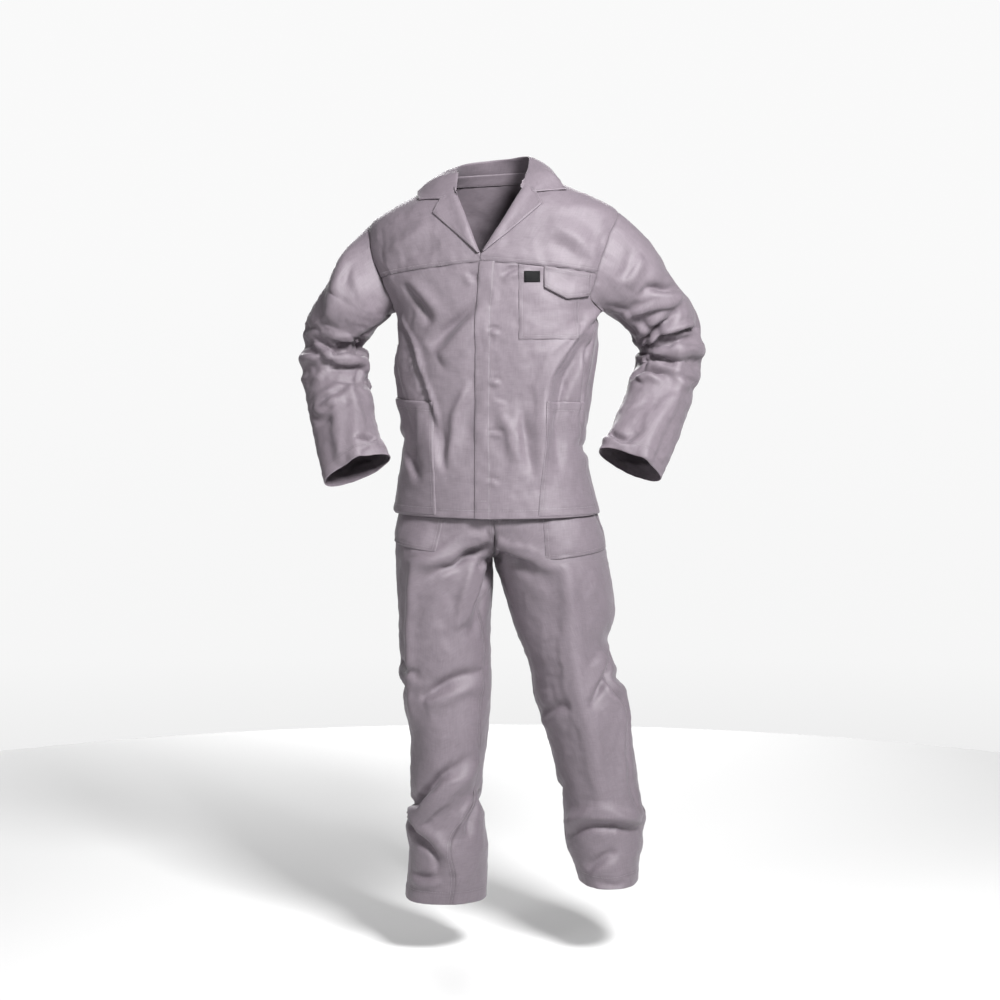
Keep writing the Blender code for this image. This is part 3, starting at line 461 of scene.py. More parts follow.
BODY_CREASES = {"front": [
    # right front: from the armpit down to the hem
    (0.005, 1.2, 0.0028, 0.3, 0.9, 0.42, (-0.176, 1.262), (-0.157, 1.221), (-0.136, 1.167),
     (-0.112, 1.089), (-0.1, 1.029), (-0.09, 0.975)),
    (0.004, 1.0, -0.0008, 0.0, 0.9, 0.55, (-0.168, 1.232), (-0.15, 1.184), (-0.14, 1.145), (-0.139, 1.1)),
    (0.007, 1.2, -0.0022, -0.4, 0.4, 0.45, (-0.151, 1.09), (-0.149, 1.056), (-0.147, 1.01),
     (-0.144, 0.96)),
    (0.009, 1.3, -0.0038, -0.6, 0.5, 0.55, (-0.175, 1.326), (-0.144, 1.288), (-0.112, 1.242)),
    (0.012, 1.4, -0.0056, -0.8, 0.5, 0.6, (-0.024, 1.295), (-0.07, 1.246), (-0.118, 1.196)),
    (0.011, 1.3, 0.003, -0.5, 0.5, 0.5, (-0.046, 1.14), (-0.064, 1.081), (-0.082, 0.97)),
    (0.01, 1.2, -0.0034, 0.5, 0.4, 0.55, (-0.108, 1.07), (-0.097, 1.022), (-0.092, 0.965)),
    (0.008, 1.2, -0.0024, 0.6, 0.4, 0.4, (-0.168, 1.0), (-0.153, 0.976), (-0.136, 0.94)),
    # left front: a facet from the armpit to the pocket, and drags beside it
    (0.024, 1.0, 0.0056, 0.0, 1.0, 0.45, (0.206, 1.266), (0.149, 1.208), (0.108, 1.15), (0.099, 1.102),
     (0.096, 0.93)),
    (0.02, 1.0, -0.0064, 0.0, 0.2, 0.45, (0.19, 1.215), (0.15, 1.165), (0.13, 1.1), (0.126, 0.95)),
    # little pulls beside the buttons
    (0.0032, 1.2, -0.0016, 0.8, 0.6, 0.5, (-0.006, 1.232), (0.004, 1.236), (0.018, 1.231)),
    (0.0034, 1.2, -0.0018, 0.8, 0.6, 0.5, (-0.006, 1.134), (0.005, 1.139), (0.02, 1.137)),
    (0.003, 1.2, -0.0012, 0.5, 0.6, 0.5, (0.002, 1.104), (0.014, 1.099), (0.026, 1.102)),
    (0.0034, 1.2, -0.0018, 0.8, 0.6, 0.5, (-0.008, 1.038), (0.006, 1.042), (0.022, 1.038)),
    (0.003, 1.2, -0.0014, 0.8, 0.6, 0.5, (-0.012, 0.946), (0.004, 0.949), (0.018, 0.943)),
    (0.003, 1.2, -0.0012, 0.8, 0.6, 0.5, (0.004, 1.316), (0.01, 1.296), (0.006, 1.276)),
    (0.009, 1.3, -0.003, 0.5, 0.5, 0.45, (0.176, 1.232), (0.138, 1.187), (0.109, 1.134)),
    (0.008, 1.2, -0.0034, 0.5, 0.6, 0.5, (0.203, 1.24), (0.186, 1.187), (0.175, 1.102), (0.173, 1.0)),
    (0.008, 1.2, -0.0036, 0.5, 0.5, 0.4, (0.222, 1.272), (0.197, 1.25), (0.164, 1.228)),
    (0.011, 1.3, 0.0024, 0.5, 0.3, 0.5, (0.01, 1.09), (0.037, 1.028), (0.058, 0.98)),
    (0.011, 1.3, -0.0028, 0.5, 0.3, 0.5, (0.06, 1.09), (0.064, 1.028), (0.082, 0.95)),
    (0.006, 1.2, -0.0018, 0.7, 0.4, 0.35, (0.014, 1.336), (0.042, 1.349), (0.07, 1.356)),
    (0.006, 1.0, -0.0018, 0.7, 0.4, 0.6, (-0.048, 1.346), (-0.038, 1.341), (-0.027, 1.33)),
    # yokes: soft drags from the neck to the armholes
    (0.016, 1.3, 0.0016, 0.6, 0.0, 0.45, (-0.12, 1.44), (-0.16, 1.41), (-0.212, 1.372)),
    (0.016, 1.3, -0.0018, 0.6, 0.0, 0.5, (-0.1, 1.4), (-0.15, 1.385), (-0.2, 1.35)),
    (0.016, 1.3, 0.0018, -0.6, 0.0, 0.45, (0.11, 1.44), (0.16, 1.408), (0.206, 1.366)),
    (0.015, 1.3, -0.0016, -0.6, 0.1, 0.5, (0.08, 1.395), (0.13, 1.392), (0.19, 1.36)),
], "back": [
    # back: drags from the shoulder blades to the waist, and folds across the waist
    (0.013, 1.4, 0.006, 0.7, 0.2, 0.45, (-0.18, 1.29), (-0.13, 1.2), (-0.085, 1.095), (-0.066, 1.02)),
    (0.012, 1.4, -0.005, 0.6, 0.3, 0.4, (-0.168, 1.24), (-0.12, 1.15), (-0.085, 1.06)),
    (0.013, 1.4, 0.006, -0.7, 0.2, 0.45, (0.178, 1.285), (0.132, 1.19), (0.098, 1.09), (0.08, 1.02)),
    (0.012, 1.3, -0.0048, -0.6, 0.3, 0.4, (0.176, 1.22), (0.14, 1.13), (0.11, 1.04)),
    (0.012, 1.2, -0.005, 0.7, 0.3, 0.5, (-0.16, 1.05), (-0.085, 1.034), (-0.02, 1.04)),
    (0.012, 1.2, -0.0046, -0.7, 0.3, 0.5, (0.16, 1.046), (0.1, 1.008), (0.035, 0.99)),
    (0.015, 1.2, 0.0024, 0.5, 0.1, 0.5, (-0.13, 0.975), (-0.03, 0.96), (0.08, 0.975)),
    (0.022, 1.3, 0.002, 0.6, 0.0, 0.45, (0.01, 1.43), (0.006, 1.34), (0.012, 1.23)),
    (0.02, 1.3, 0.0024, 0.6, 0.0, 0.4, (-0.19, 1.39), (-0.12, 1.4), (-0.05, 1.42)),
    (0.02, 1.3, 0.0024, -0.6, 0.0, 0.4, (0.195, 1.385), (0.12, 1.398), (0.05, 1.424)),
], "right": [
    # sides, under the arms
    (0.012, 1.3, -0.005, 0.7, 0.3, 0.4, (0.05, 1.24), (0.03, 1.15), (0.04, 1.06)),
    (0.011, 1.2, -0.0026, 0.5, 0.3, 0.5, (-0.03, 1.03), (0.03, 1.012), (0.1, 1.03)),
], "left": [
    (0.012, 1.3, -0.005, 0.7, 0.3, 0.4, (0.03, 1.235), (0.01, 1.15), (0.015, 1.05)),
    (0.011, 1.2, -0.0026, 0.5, 0.3, 0.5, (-0.09, 1.02), (-0.03, 1.004), (0.05, 1.022)),
]}

RIGHT_SLEEVE_CREASES = {"front": [
    # flat facets of stiff cloth, whose edges run down the arm
    (0.02, 1.0, 0.0054, 0.0, 1.0, 0.5, (-0.284, 1.136), (-0.272, 1.086), (-0.265, 1.015), (-0.256, 0.97)),
    (0.02, 1.0, 0.004, 0.0, 1.0, 0.5, (-0.326, 1.124), (-0.3, 1.063), (-0.292, 0.975)),
    (0.024, 1.0, 0.0058, 0.0, 1.0, 0.5, (-0.25, 1.43), (-0.276, 1.385), (-0.3, 1.32), (-0.322, 1.245)),
    # soft drags down the upper arm
    (0.01, 1.3, 0.0016, 0.5, 0.6, 0.4, (-0.265, 1.375), (-0.261, 1.324), (-0.25, 1.282)),
    (0.01, 1.3, -0.0016, 0.5, 0.5, 0.45, (-0.243, 1.367), (-0.224, 1.336), (-0.21, 1.31)),
    (0.012, 1.3, -0.002, 0.5, 0.4, 0.45, (-0.3, 1.3), (-0.286, 1.33), (-0.282, 1.366)),
    # the bend of the elbow: folds that run in from the inner side
    (0.008, 1.0, -0.0062, 0.5, 0.5, 0.35, (-0.246, 1.198), (-0.272, 1.207), (-0.3, 1.211),
     (-0.33, 1.215)),
    (0.006, 1.0, -0.0044, 0.4, 0.7, 0.5, (-0.356, 1.226), (-0.332, 1.209), (-0.306, 1.192),
     (-0.28, 1.186), (-0.249, 1.193)),
    (0.007, 1.0, 0.0026, 0.5, 0.5, 0.5, (-0.356, 1.219), (-0.338, 1.194), (-0.318, 1.182),
     (-0.29, 1.171)),
    (0.008, 1.0, -0.0038, -0.3, 0.5, 0.55, (-0.33, 1.155), (-0.306, 1.16), (-0.276, 1.162),
     (-0.247, 1.154)),
    (0.008, 1.0, -0.0034, 0.5, 0.6, 0.55, (-0.32, 1.142), (-0.284, 1.133), (-0.24, 1.134)),
    (0.006, 1.0, -0.0026, 0.5, 0.6, 0.5, (-0.348, 1.089), (-0.316, 1.106), (-0.281, 1.129)),
    (0.008, 1.0, 0.0024, 0.5, 0.4, 0.4, (-0.354, 1.08), (-0.328, 1.073), (-0.298, 1.065)),
    (0.008, 1.0, -0.005, 0.6, 0.5, 0.6, (-0.276, 1.008), (-0.257, 1.021), (-0.224, 1.021)),
    (0.008, 1.0, -0.002, 0.6, 0.5, 0.6, (-0.378, 1.246), (-0.356, 1.241), (-0.334, 1.229)),
    (0.008, 1.0, -0.0024, 0.6, 0.5, 0.6, (-0.38, 1.19), (-0.348, 1.192), (-0.322, 1.186)),
], "back": [
    # behind and outside
    (0.01, 1.2, 0.005, 0.7, 0.3, 0.45, (-0.25, 1.36), (-0.29, 1.29), (-0.33, 1.235)),
    (0.009, 1.1, -0.0024, 0.6, 0.5, 0.5, (-0.255, 1.24), (-0.3, 1.215), (-0.365, 1.216)),
    (0.009, 1.1, -0.0022, 0.6, 0.5, 0.5, (-0.27, 1.165), (-0.31, 1.18), (-0.365, 1.196)),
    (0.01, 1.1, 0.0022, 0.6, 0.3, 0.5, (-0.262, 1.12), (-0.31, 1.13), (-0.362, 1.15)),
    (0.011, 1.2, -0.003, 0.6, 0.2, 0.5, (-0.26, 1.06), (-0.3, 1.05), (-0.35, 1.07)),
], "right": [
    (0.01, 1.2, -0.0018, 0.7, 0.4, 0.5, (0.01, 1.226), (0.06, 1.204), (0.13, 1.21)),
    (0.01, 1.2, 0.0022, 0.6, 0.3, 0.5, (0.0, 1.15), (0.06, 1.14), (0.11, 1.16)),
], "left": [
    (0.009, 1.2, -0.003, 0.7, 0.4, 0.5, (0.01, 1.19), (0.05, 1.196), (0.12, 1.2)),
]}

LEFT_SLEEVE_CREASES = {"front": [
    (0.022, 1.0, 0.006, 0.0, 1.0, 0.5, (0.368, 1.136), (0.363, 1.112), (0.342, 1.083), (0.312, 1.043),
     (0.296, 1.007), (0.29, 0.97)),
    (0.018, 1.0, 0.0042, 0.0, 1.0, 0.5, (0.36, 1.22), (0.366, 1.182), (0.364, 1.146)),
    (0.009, 1.1, -0.0048, 0.6, 0.5, 0.45, (0.284, 1.296), (0.31, 1.315), (0.346, 1.314), (0.38, 1.326)),
    (0.01, 1.3, -0.0022, 0.5, 0.5, 0.45, (0.244, 1.328), (0.26, 1.355), (0.276, 1.388)),
    (0.01, 1.3, 0.0018, -0.5, 0.5, 0.45, (0.262, 1.318), (0.28, 1.35), (0.292, 1.382)),
    (0.01, 1.2, 0.0042, 0.6, 0.5, 0.5, (0.258, 1.256), (0.314, 1.277), (0.354, 1.296), (0.372, 1.299)),
    (0.008, 1.0, -0.0066, 0.5, 0.6, 0.5, (0.364, 1.28), (0.342, 1.251), (0.318, 1.232), (0.282, 1.207)),
    (0.006, 1.0, -0.0056, 0.6, 0.7, 0.55, (0.413, 1.24), (0.366, 1.231), (0.342, 1.223), (0.314, 1.209),
     (0.29, 1.2)),
    (0.008, 1.0, -0.0048, 0.5, 0.5, 0.35, (0.276, 1.196), (0.296, 1.19), (0.316, 1.185)),
    (0.008, 1.0, -0.0056, 0.6, 0.5, 0.45, (0.27, 1.138), (0.302, 1.156), (0.326, 1.154), (0.352, 1.145)),
    (0.007, 1.0, -0.0028, 0.5, 0.5, 0.55, (0.354, 1.146), (0.382, 1.137), (0.412, 1.129)),
    (0.008, 1.0, -0.0046, 0.6, 0.5, 0.35, (0.23, 1.036), (0.254, 1.021), (0.283, 1.035)),
], "back": [
    (0.01, 1.2, 0.005, 0.7, 0.3, 0.45, (0.27, 1.37), (0.31, 1.3), (0.35, 1.25)),
    (0.009, 1.1, -0.0032, 0.6, 0.5, 0.5, (0.292, 1.215), (0.34, 1.216), (0.4, 1.236)),
    (0.009, 1.1, -0.003, 0.6, 0.5, 0.5, (0.3, 1.17), (0.345, 1.178), (0.398, 1.186)),
    (0.01, 1.1, 0.003, 0.6, 0.3, 0.5, (0.296, 1.12), (0.34, 1.132), (0.392, 1.146)),
    (0.011, 1.2, -0.004, 0.6, 0.2, 0.5, (0.29, 1.06), (0.33, 1.056), (0.38, 1.076)),
], "left": [
    (0.01, 1.2, -0.0028, 0.7, 0.4, 0.5, (-0.03, 1.215), (0.03, 1.21), (0.1, 1.222)),
    (0.01, 1.2, 0.0026, 0.6, 0.3, 0.5, (-0.03, 1.14), (0.03, 1.138), (0.09, 1.16)),
], "right": [
    (0.009, 1.2, -0.003, 0.7, 0.4, 0.5, (-0.01, 1.18), (0.03, 1.19), (0.1, 1.196)),
]}

RIGHT_LEG_CREASES = {"front": [
    # drags from the crotch, the pressed crease, the knee, the shin and the ankle
    (0.011, 1.4, -0.0062, 0.8, 0.5, 0.3, (0.0, 0.82), (-0.045, 0.802), (-0.086, 0.778), (-0.149, 0.75)),
    (0.013, 1.4, -0.005, 0.7, 0.2, 0.4, (-0.003, 0.8), (-0.01, 0.755), (-0.026, 0.686), (-0.044, 0.628)),
    (0.012, 1.3, 0.004, 0.6, 0.2, 0.4, (-0.034, 0.797), (-0.05, 0.729), (-0.07, 0.655)),
    (0.02, 1.0, 0.0034, 0.0, 1.0, 0.35, (-0.149, 0.797), (-0.154, 0.718), (-0.157, 0.58), (-0.155, 0.44)),
    (0.011, 1.0, -0.0044, 0.6, 0.5, 0.5, (-0.184, 0.582), (-0.162, 0.571), (-0.138, 0.572)),
    (0.012, 1.2, -0.0048, 0.7, 0.4, 0.4, (-0.14, 0.522), (-0.1, 0.545), (-0.06, 0.56), (-0.013, 0.571)),
    (0.012, 1.2, -0.0068, 0.8, 0.5, 0.45, (-0.16, 0.296), (-0.128, 0.338), (-0.091, 0.372),
     (-0.036, 0.402)),
    (0.01, 1.1, -0.0058, 0.6, 0.5, 0.5, (-0.026, 0.328), (-0.038, 0.286), (-0.05, 0.238)),
    (0.01, 1.1, -0.0056, -0.7, 0.5, 0.4, (-0.172, 0.288), (-0.149, 0.244), (-0.112, 0.214),
     (-0.102, 0.166)),
    (0.008, 1.0, -0.0028, 0.6, 0.4, 0.5, (-0.16, 0.17), (-0.13, 0.166), (-0.092, 0.166)),
], "back": [
    (0.013, 1.2, -0.006, 0.7, 0.3, 0.45, (-0.01, 0.8), (-0.06, 0.775), (-0.13, 0.76)),
    (0.013, 1.2, -0.0056, 0.7, 0.3, 0.5, (-0.02, 0.74), (-0.08, 0.73), (-0.15, 0.75)),
    (0.013, 1.2, -0.006, 0.7, 0.4, 0.5, (-0.01, 0.545), (-0.07, 0.52), (-0.15, 0.54)),
    (0.012, 1.2, -0.0056, 0.7, 0.4, 0.5, (-0.02, 0.47), (-0.09, 0.49), (-0.16, 0.475)),
    (0.012, 1.2, -0.005, 0.6, 0.4, 0.5, (-0.038, 0.326), (-0.08, 0.29), (-0.15, 0.3)),
    (0.011, 1.2, -0.005, 0.7, 0.4, 0.5, (-0.03, 0.23), (-0.08, 0.21), (-0.16, 0.235)),
    (0.009, 1.0, 0.0024, 0.4, 0.8, 0.4, (-0.096, 0.74), (-0.094, 0.62), (-0.09, 0.44)),
], "right": [
    (0.012, 1.2, -0.003, 0.5, 0.3, 0.5, (-0.06, 0.255), (0.0, 0.29), (0.06, 0.28)),
    (0.012, 1.2, -0.003, 0.5, 0.3, 0.5, (-0.07, 0.53), (0.0, 0.54), (0.06, 0.53)),
], "left": [
    (0.011, 1.2, -0.0024, 0.3, 0.3, 0.5, (-0.06, 0.33), (0.0, 0.3), (0.05, 0.31)),
]}

LEFT_LEG_CREASES = {"front": [
    (0.011, 1.3, -0.0048, -0.7, 0.4, 0.35, (0.005, 0.812), (0.045, 0.79), (0.09, 0.772)),
    (0.012, 1.3, 0.003, 0.6, 0.1, 0.4, (0.01, 0.828), (0.06, 0.806), (0.102, 0.784), (0.139, 0.772)),
    (0.026, 1.0, 0.0064, 0.0, 1.0, 0.45, (0.132, 0.8), (0.149, 0.729), (0.155, 0.623), (0.173, 0.516),
     (0.186, 0.474), (0.199, 0.399), (0.214, 0.29)),
    (0.012, 1.1, -0.003, 0.5, 0.3, 0.5, (0.092, 0.484), (0.134, 0.508), (0.173, 0.508)),
    (0.01, 1.1, -0.0056, -0.8, 0.5, 0.6, (0.172, 0.492), (0.205, 0.54), (0.23, 0.59)),
    (0.009, 1.1, -0.0042, 0.5, 0.6, 0.35, (0.234, 0.6), (0.227, 0.556), (0.24, 0.532), (0.259, 0.511),
     (0.266, 0.474), (0.267, 0.41), (0.274, 0.34), (0.296, 0.268)),
    (0.012, 1.1, -0.0046, -0.8, 0.5, 0.55, (0.14, 0.234), (0.168, 0.257), (0.2, 0.271), (0.24, 0.267),
     (0.3, 0.254)),
    (0.007, 1.0, -0.001, 0.5, 0.5, 0.35, (0.226, 0.28), (0.236, 0.265), (0.226, 0.238)),
    (0.01, 1.1, -0.003, 0.6, 0.3, 0.5, (0.185, 0.178), (0.212, 0.208), (0.246, 0.217)),
    (0.01, 1.1, -0.0026, 0.6, 0.3, 0.5, (0.2, 0.16), (0.23, 0.152), (0.262, 0.16)),
], "back": [
    (0.013, 1.2, -0.006, 0.7, 0.3, 0.45, (0.02, 0.8), (0.08, 0.778), (0.16, 0.765)),
    (0.013, 1.2, -0.0056, 0.7, 0.3, 0.5, (0.04, 0.73), (0.1, 0.722), (0.19, 0.745)),
    (0.013, 1.2, -0.006, 0.7, 0.4, 0.5, (0.09, 0.53), (0.16, 0.508), (0.25, 0.53)),
    (0.012, 1.2, -0.0056, 0.7, 0.4, 0.5, (0.11, 0.46), (0.18, 0.48), (0.265, 0.465)),
    (0.012, 1.2, -0.0056, 0.7, 0.4, 0.5, (0.14, 0.33), (0.21, 0.296), (0.285, 0.31)),
    (0.011, 1.2, -0.005, 0.7, 0.4, 0.5, (0.16, 0.245), (0.22, 0.225), (0.29, 0.25)),
    (0.009, 1.0, 0.0024, 0.4, 0.8, 0.4, (0.128, 0.74), (0.16, 0.62), (0.196, 0.44)),
], "left": [
    (0.011, 1.2, -0.0034, 0.5, 0.3, 0.5, (-0.06, 0.27), (0.0, 0.3), (0.06, 0.29)),
    (0.011, 1.2, -0.0024, 0.5, 0.3, 0.5, (-0.08, 0.56), (0.0, 0.545), (0.06, 0.556)),
], "right": [
    (0.011, 1.2, -0.0022, 0.3, 0.3, 0.5, (-0.07, 0.35), (0.0, 0.32), (0.05, 0.33)),
]}

VIEWS = {"front": ((0, 1, 0), 0), "back": ((0, -1, 0), 0),
         "right": ((1, 0, 0), 1), "left": ((-1, 0, 0), 1)}


class Form:
    """A tube of cloth: its smooth surface, and the folds that lie on it.

    The folds start from the listed creases and a little noise.  Then the cloth is given
    slightly more length than the surface under it and let go for a moment, held loosely to
    where it started, so that it buckles along those creases as stiff cotton does.  Last, a
    share AGAIN of each crease is pressed in once more, and all of a knife edge (sharp = 1).
    """

    SPACING, AGAIN = 0.005, 0.2

    def __init__(self, point, normal, around, along, creases, crumple, slack, seed):
        self.around, self.along, self.crumple, self.seed = around, along, crumple, seed
        base = tube(point, np.linspace(*around, 25), np.linspace(*along, 25))
        girth = np.linalg.norm(np.diff(base, axis=1), axis=2).sum(axis=1).mean()
        length = np.linalg.norm(np.diff(base, axis=0), axis=2).sum(axis=0).mean()
        cols, rows = int(girth / self.SPACING), int(length / self.SPACING) + 1
        turns, stations = np.linspace(*around, cols + 1), np.linspace(*along, rows)
        grid = tube(point, turns, stations)
        faces = [(i * (cols + 1) + j, i * (cols + 1) + j + 1, (i + 1) * (cols + 1) + j + 1,
                  (i + 1) * (cols + 1) + j) for i in range(rows - 1) for j in range(cols)]
        self.tree = BVHTree.FromPolygons(grid.reshape(-1, 3).tolist(), faces)
        base = grid[:, :-1]
        normals = tube(normal, turns, stations)[:, :-1]
        lines = [(crease, self.trace(crease)) for crease in crease_list(creases)]
        start = self.out(lines, base.reshape(-1, 3), normals.reshape(-1, 3)).reshape(rows, cols)
        self.moved = crisp(buckled(base, normals, start, slack(base)) - base)
        again = np.zeros(rows * cols)
        for crease, line in lines:
            again += ((1.0 if crease.sharp == 1.0 else self.AGAIN)
                      * crease_profile(crease, line, base.reshape(-1, 3), normals.reshape(-1, 3)))
        self.moved += normals * again.reshape(rows, cols)[..., None]

    def trace(self, crease):
        """A crease's line on the surface, from the spots seen square from one side."""
        aim, axis = VIEWS[crease.seen]
        spots = np.array(crease.spots)
        run = run_along(spots)
        at = np.linspace(0, run[-1], max(5, int(run[-1] / 0.009)))
        across, height = eased(run, spots[:, 0], at), eased(run, spots[:, 1], at)
        line = []
        for a, h in zip(across, height):
            place = [0.0, 0.0, h - HOLD_HEIGHT]
            place[axis] = a
            hit = self.tree.ray_cast(Vector(place) - Vector(aim), Vector(aim))[0]
            line.append(hit or self.tree.find_nearest(Vector(place))[0])
        return np.array(line)

    def out(self, lines, points, normals):
        """How far the placed creases and the noise move each point out along its normal."""
        warp = np.stack([noise(points, 0.05, self.seed + k) for k in (1, 2, 3)], 1) * 0.006
        bent = points + warp
        total = np.zeros(len(points))
        for crease, line in lines:
            reach = 3.6 * crease.width * max(crease.flare, 1)
            near = np.nonzero(np.all((bent > line.min(0) - reach) & (bent < line.max(0) + reach),
                                     axis=1))[0]
            if len(near):
                total[near] += crease_profile(crease, line, bent[near], normals[near])
        soft, fine = self.crumple
        return (total + soft * noise(bent, 0.11, self.seed + 7)
                + fine * noise(bent, 0.034, self.seed + 8)
                + 0.5 * fine * noise(bent, 0.017, self.seed + 9))

    def offset(self, turn, along):
        """How the folds move places on the surface, between the places of the grid."""
        rows, cols = self.moved.shape[:2]
        j = (turn - self.around[0]) / (self.around[1] - self.around[0]) * cols
        i = np.clip((along - self.along[0]) / (self.along[1] - self.along[0]) * (rows - 1),
                    0, rows - 1.001)
        i_cell, j_cell = np.floor(i).astype(int), np.floor(j).astype(int)
        total = np.zeros((len(i), 3))
        for n, row_weight in zip(range(-1, 3), cubic_weights(i - i_cell)):
            row = np.clip(i_cell + n, 0, rows - 1)
            for m, col_weight in zip(range(-1, 3), cubic_weights(j - j_cell)):
                total += self.moved[row, (j_cell + m) % cols] * (row_weight * col_weight)[:, None]
        return total


def crisp(moved, gain=0.5, reach=4):
    """The folds with their ridges and troughs drawn sharper."""
    soft = moved.copy()
    for _ in range(reach):
        soft = 0.25 * (np.roll(soft, 1, axis=1) + np.roll(soft, -1, axis=1)) + 0.5 * soft
        edge = np.concatenate([soft[:1], soft, soft[-1:]])
        soft = 0.25 * (edge[:-2] + edge[2:]) + 0.5 * soft
    return moved + gain * (moved - soft)


def cubic_weights(part):
    return (-0.5 * part + part ** 2 - 0.5 * part ** 3, 1 - 2.5 * part ** 2 + 1.5 * part ** 3,
            0.5 * part + 2 * part ** 2 - 1.5 * part ** 3, -0.5 * part ** 2 + 0.5 * part ** 3)


def buckled(base, normals, start, slack, rounds=150, hold=0.02, deepest=0.018,
            proudest=0.006):
    """Cloth on a tube's grid, slack longer than the tube, after it has buckled.

    slack holds the extra length along and around at each place, as shares of the length.
    """
    points = base + normals * start[..., None]
    target = points.copy()
    along, around = slack
    rows = len(base)
    links = []
    for down, across, strength in ((1, 0, 1.0), (0, 1, 1.0), (1, 1, 1.0), (1, -1, 1.0),
                                   (2, 0, 0.02), (0, 2, 0.02), (4, 0, 0.06), (0, 4, 0.06),
                                   (7, 0, 0.1), (0, 7, 0.1)):
        ends = slice(down, rows), slice(0, rows - down)
        flat = np.roll(points, -across, axis=1)[ends[0]] - points[ends[1]]
        extra = (along * abs(down) + around * abs(across)) / (abs(down) + abs(across))
        rest = np.linalg.norm(flat, axis=2) * (1 + extra[ends[1]])
        links.append((ends, across, strength, rest))
    for _ in range(rounds):
        move, weight = np.zeros_like(points), np.zeros(points.shape[:2])
        for (far, near), across, strength, rest in links:
            run = np.roll(points, -across, axis=1)[far] - points[near]
            length = np.linalg.norm(run, axis=2)
            pull = run * (strength * 0.5 * (length - rest) / np.maximum(length, 1e-6))[..., None]
            move[near] += pull
            weight[near] += strength
            back = np.zeros_like(points)
            back[far] = pull
            move -= np.roll(back, across, axis=1)
            weight[far] += strength
        points = points + move / weight[..., None] * 1.7
        points += hold * (target - points)
        out = np.sum((points - base) * normals, axis=2)
        points += normals * (np.clip(out, -deepest, proudest) - out)[..., None]
    return points


PARTNER_AWAY, PARTNER_WIDTH = 1.9, 1.25    # of a crease's partner, in widths of the crease


def crease_profile(crease, line, points, normals):
    """How far one crease moves each point out along its normal."""
    starts = run_along(line)
    best = np.full(len(points), np.inf)
    signed, share = np.zeros(len(points)), np.zeros(len(points))
    for a, b, start, length in zip(line[:-1], line[1:], starts, np.diff(starts)):
        run = b - a
        part = np.clip((points - a) @ run / (run @ run), 0, 1)
        away = points - a - part[:, None] * run
        far = np.linalg.norm(away, axis=1)
        nearer = far < best
        hand = np.sum(np.cross(run / length, normals) * away, axis=1)
        best = np.where(nearer, far, best)
        signed = np.where(nearer, np.where(hand < 0, -far, far), signed)
        share = np.where(nearer, (start + part * length) / starts[-1], share)
    width = crease.width * lerp(1.0, crease.flare, share)
    power = math.log(0.5) / math.log(crease.peak)
    strength = np.sin(math.pi * np.clip(share, 0, 1) ** power) ** 0.8
    across = signed / width
    tent = np.exp(1 - np.sqrt(1 + 5 * across ** 2))
    swell = bell(across, 1)
    partner = bell(across - math.copysign(PARTNER_AWAY, crease.pair), PARTNER_WIDTH)
    shape = lerp(swell, tent, crease.sharp) - abs(crease.pair) * partner
    return CREASE_GAIN * crease.out * strength * shape


def tube(point, around, along):
    """The points of a form's surface on a plain grid."""
    a, b = np.meshgrid(around, along)
    return point(a.ravel(), b.ravel()).reshape(len(along), len(around), 3)


def more(where, low, high, peak):
    """Extra slack in a band of heights, with soft edges."""
    return peak * smooth(low, low + 0.05, where) * (1 - smooth(high - 0.05, high, where))


def body_slack(base):
    height = base[..., 2] + HOLD_HEIGHT
    behind = smooth(-0.02, 0.08, base[..., 1])
    along = 0.01 + more(height, 0.95, 1.14, 0.035) * behind + more(height, 1.14, 1.32, 0.01)
    around = 0.012 + more(height, 1.05, 1.3, 0.01)
    fade = 1 - smooth(1.42, 1.47, height)
    return along * fade, around * fade


def sleeve_slack(base):
    height = base[..., 2] + HOLD_HEIGHT
    along = 0.012 + more(height, 1.1, 1.28, 0.035)
    return along, 0.012 + more(height, 1.1, 1.28, 0.01)


def leg_slack(base):
    height = base[..., 2] + HOLD_HEIGHT
    along = (0.006 + more(height, 0.14, 0.4, 0.012) + more(height, 0.44, 0.62, 0.008)
             + more(height, 0.7, 0.86, 0.01))
    return along, 0.01


body_form = Form(jacket_base, jacket_normal, (-180, 180), (0.85, 1.556), BODY_CREASES,
                 (0.0022, 0.001), body_slack, 11)
sleeves = {side: Sleeve(side) for side in (-1, 1)}
sleeve_forms = {
    side: Form(sleeves[side].point, sleeves[side].normal, (0, 360), (0, sleeves[side].length),
               creases, (0.0022, 0.0014), sleeve_slack, seed)
    for side, creases, seed in ((-1, RIGHT_SLEEVE_CREASES, 23), (1, LEFT_SLEEVE_CREASES, 37))}
leg_forms = {
    side: Form(functools.partial(leg_base, side), functools.partial(leg_normal, side), (0, 1),
               (0.1, 1.04), creases, (0.0026, 0.0012), leg_slack, seed)
    for side, creases, seed in ((-1, RIGHT_LEG_CREASES, 53), (1, LEFT_LEG_CREASES, 71))}


# ---------------- the creased cloth itself
def jacket_cloth(turn, height):
    return (jacket_base(turn, height) + body_form.offset(turn, height),
            jacket_normal(turn, height))


def sleeve_cloth(side, turn, at):
    """A sleeve's cloth, which starts as the jacket's at the armhole."""
    sleeve = sleeves[side]
    base, normal = sleeve.point(turn, at), sleeve.normal(turn, at)
    joined = (1 - smooth(0.0, 0.55, at))[:, None]
    body_turn, body_height = sleeve.armhole(turn)
    body_normal = jacket_normal(body_turn, body_height)
    moved = lerp(sleeve_forms[side].offset(turn, at), body_form.offset(body_turn, body_height),
                 joined)
    return (base + moved,
            unit(lerp(normal, unit(normal + body_normal), (1 - smooth(0, 0.2, at))[:, None])))


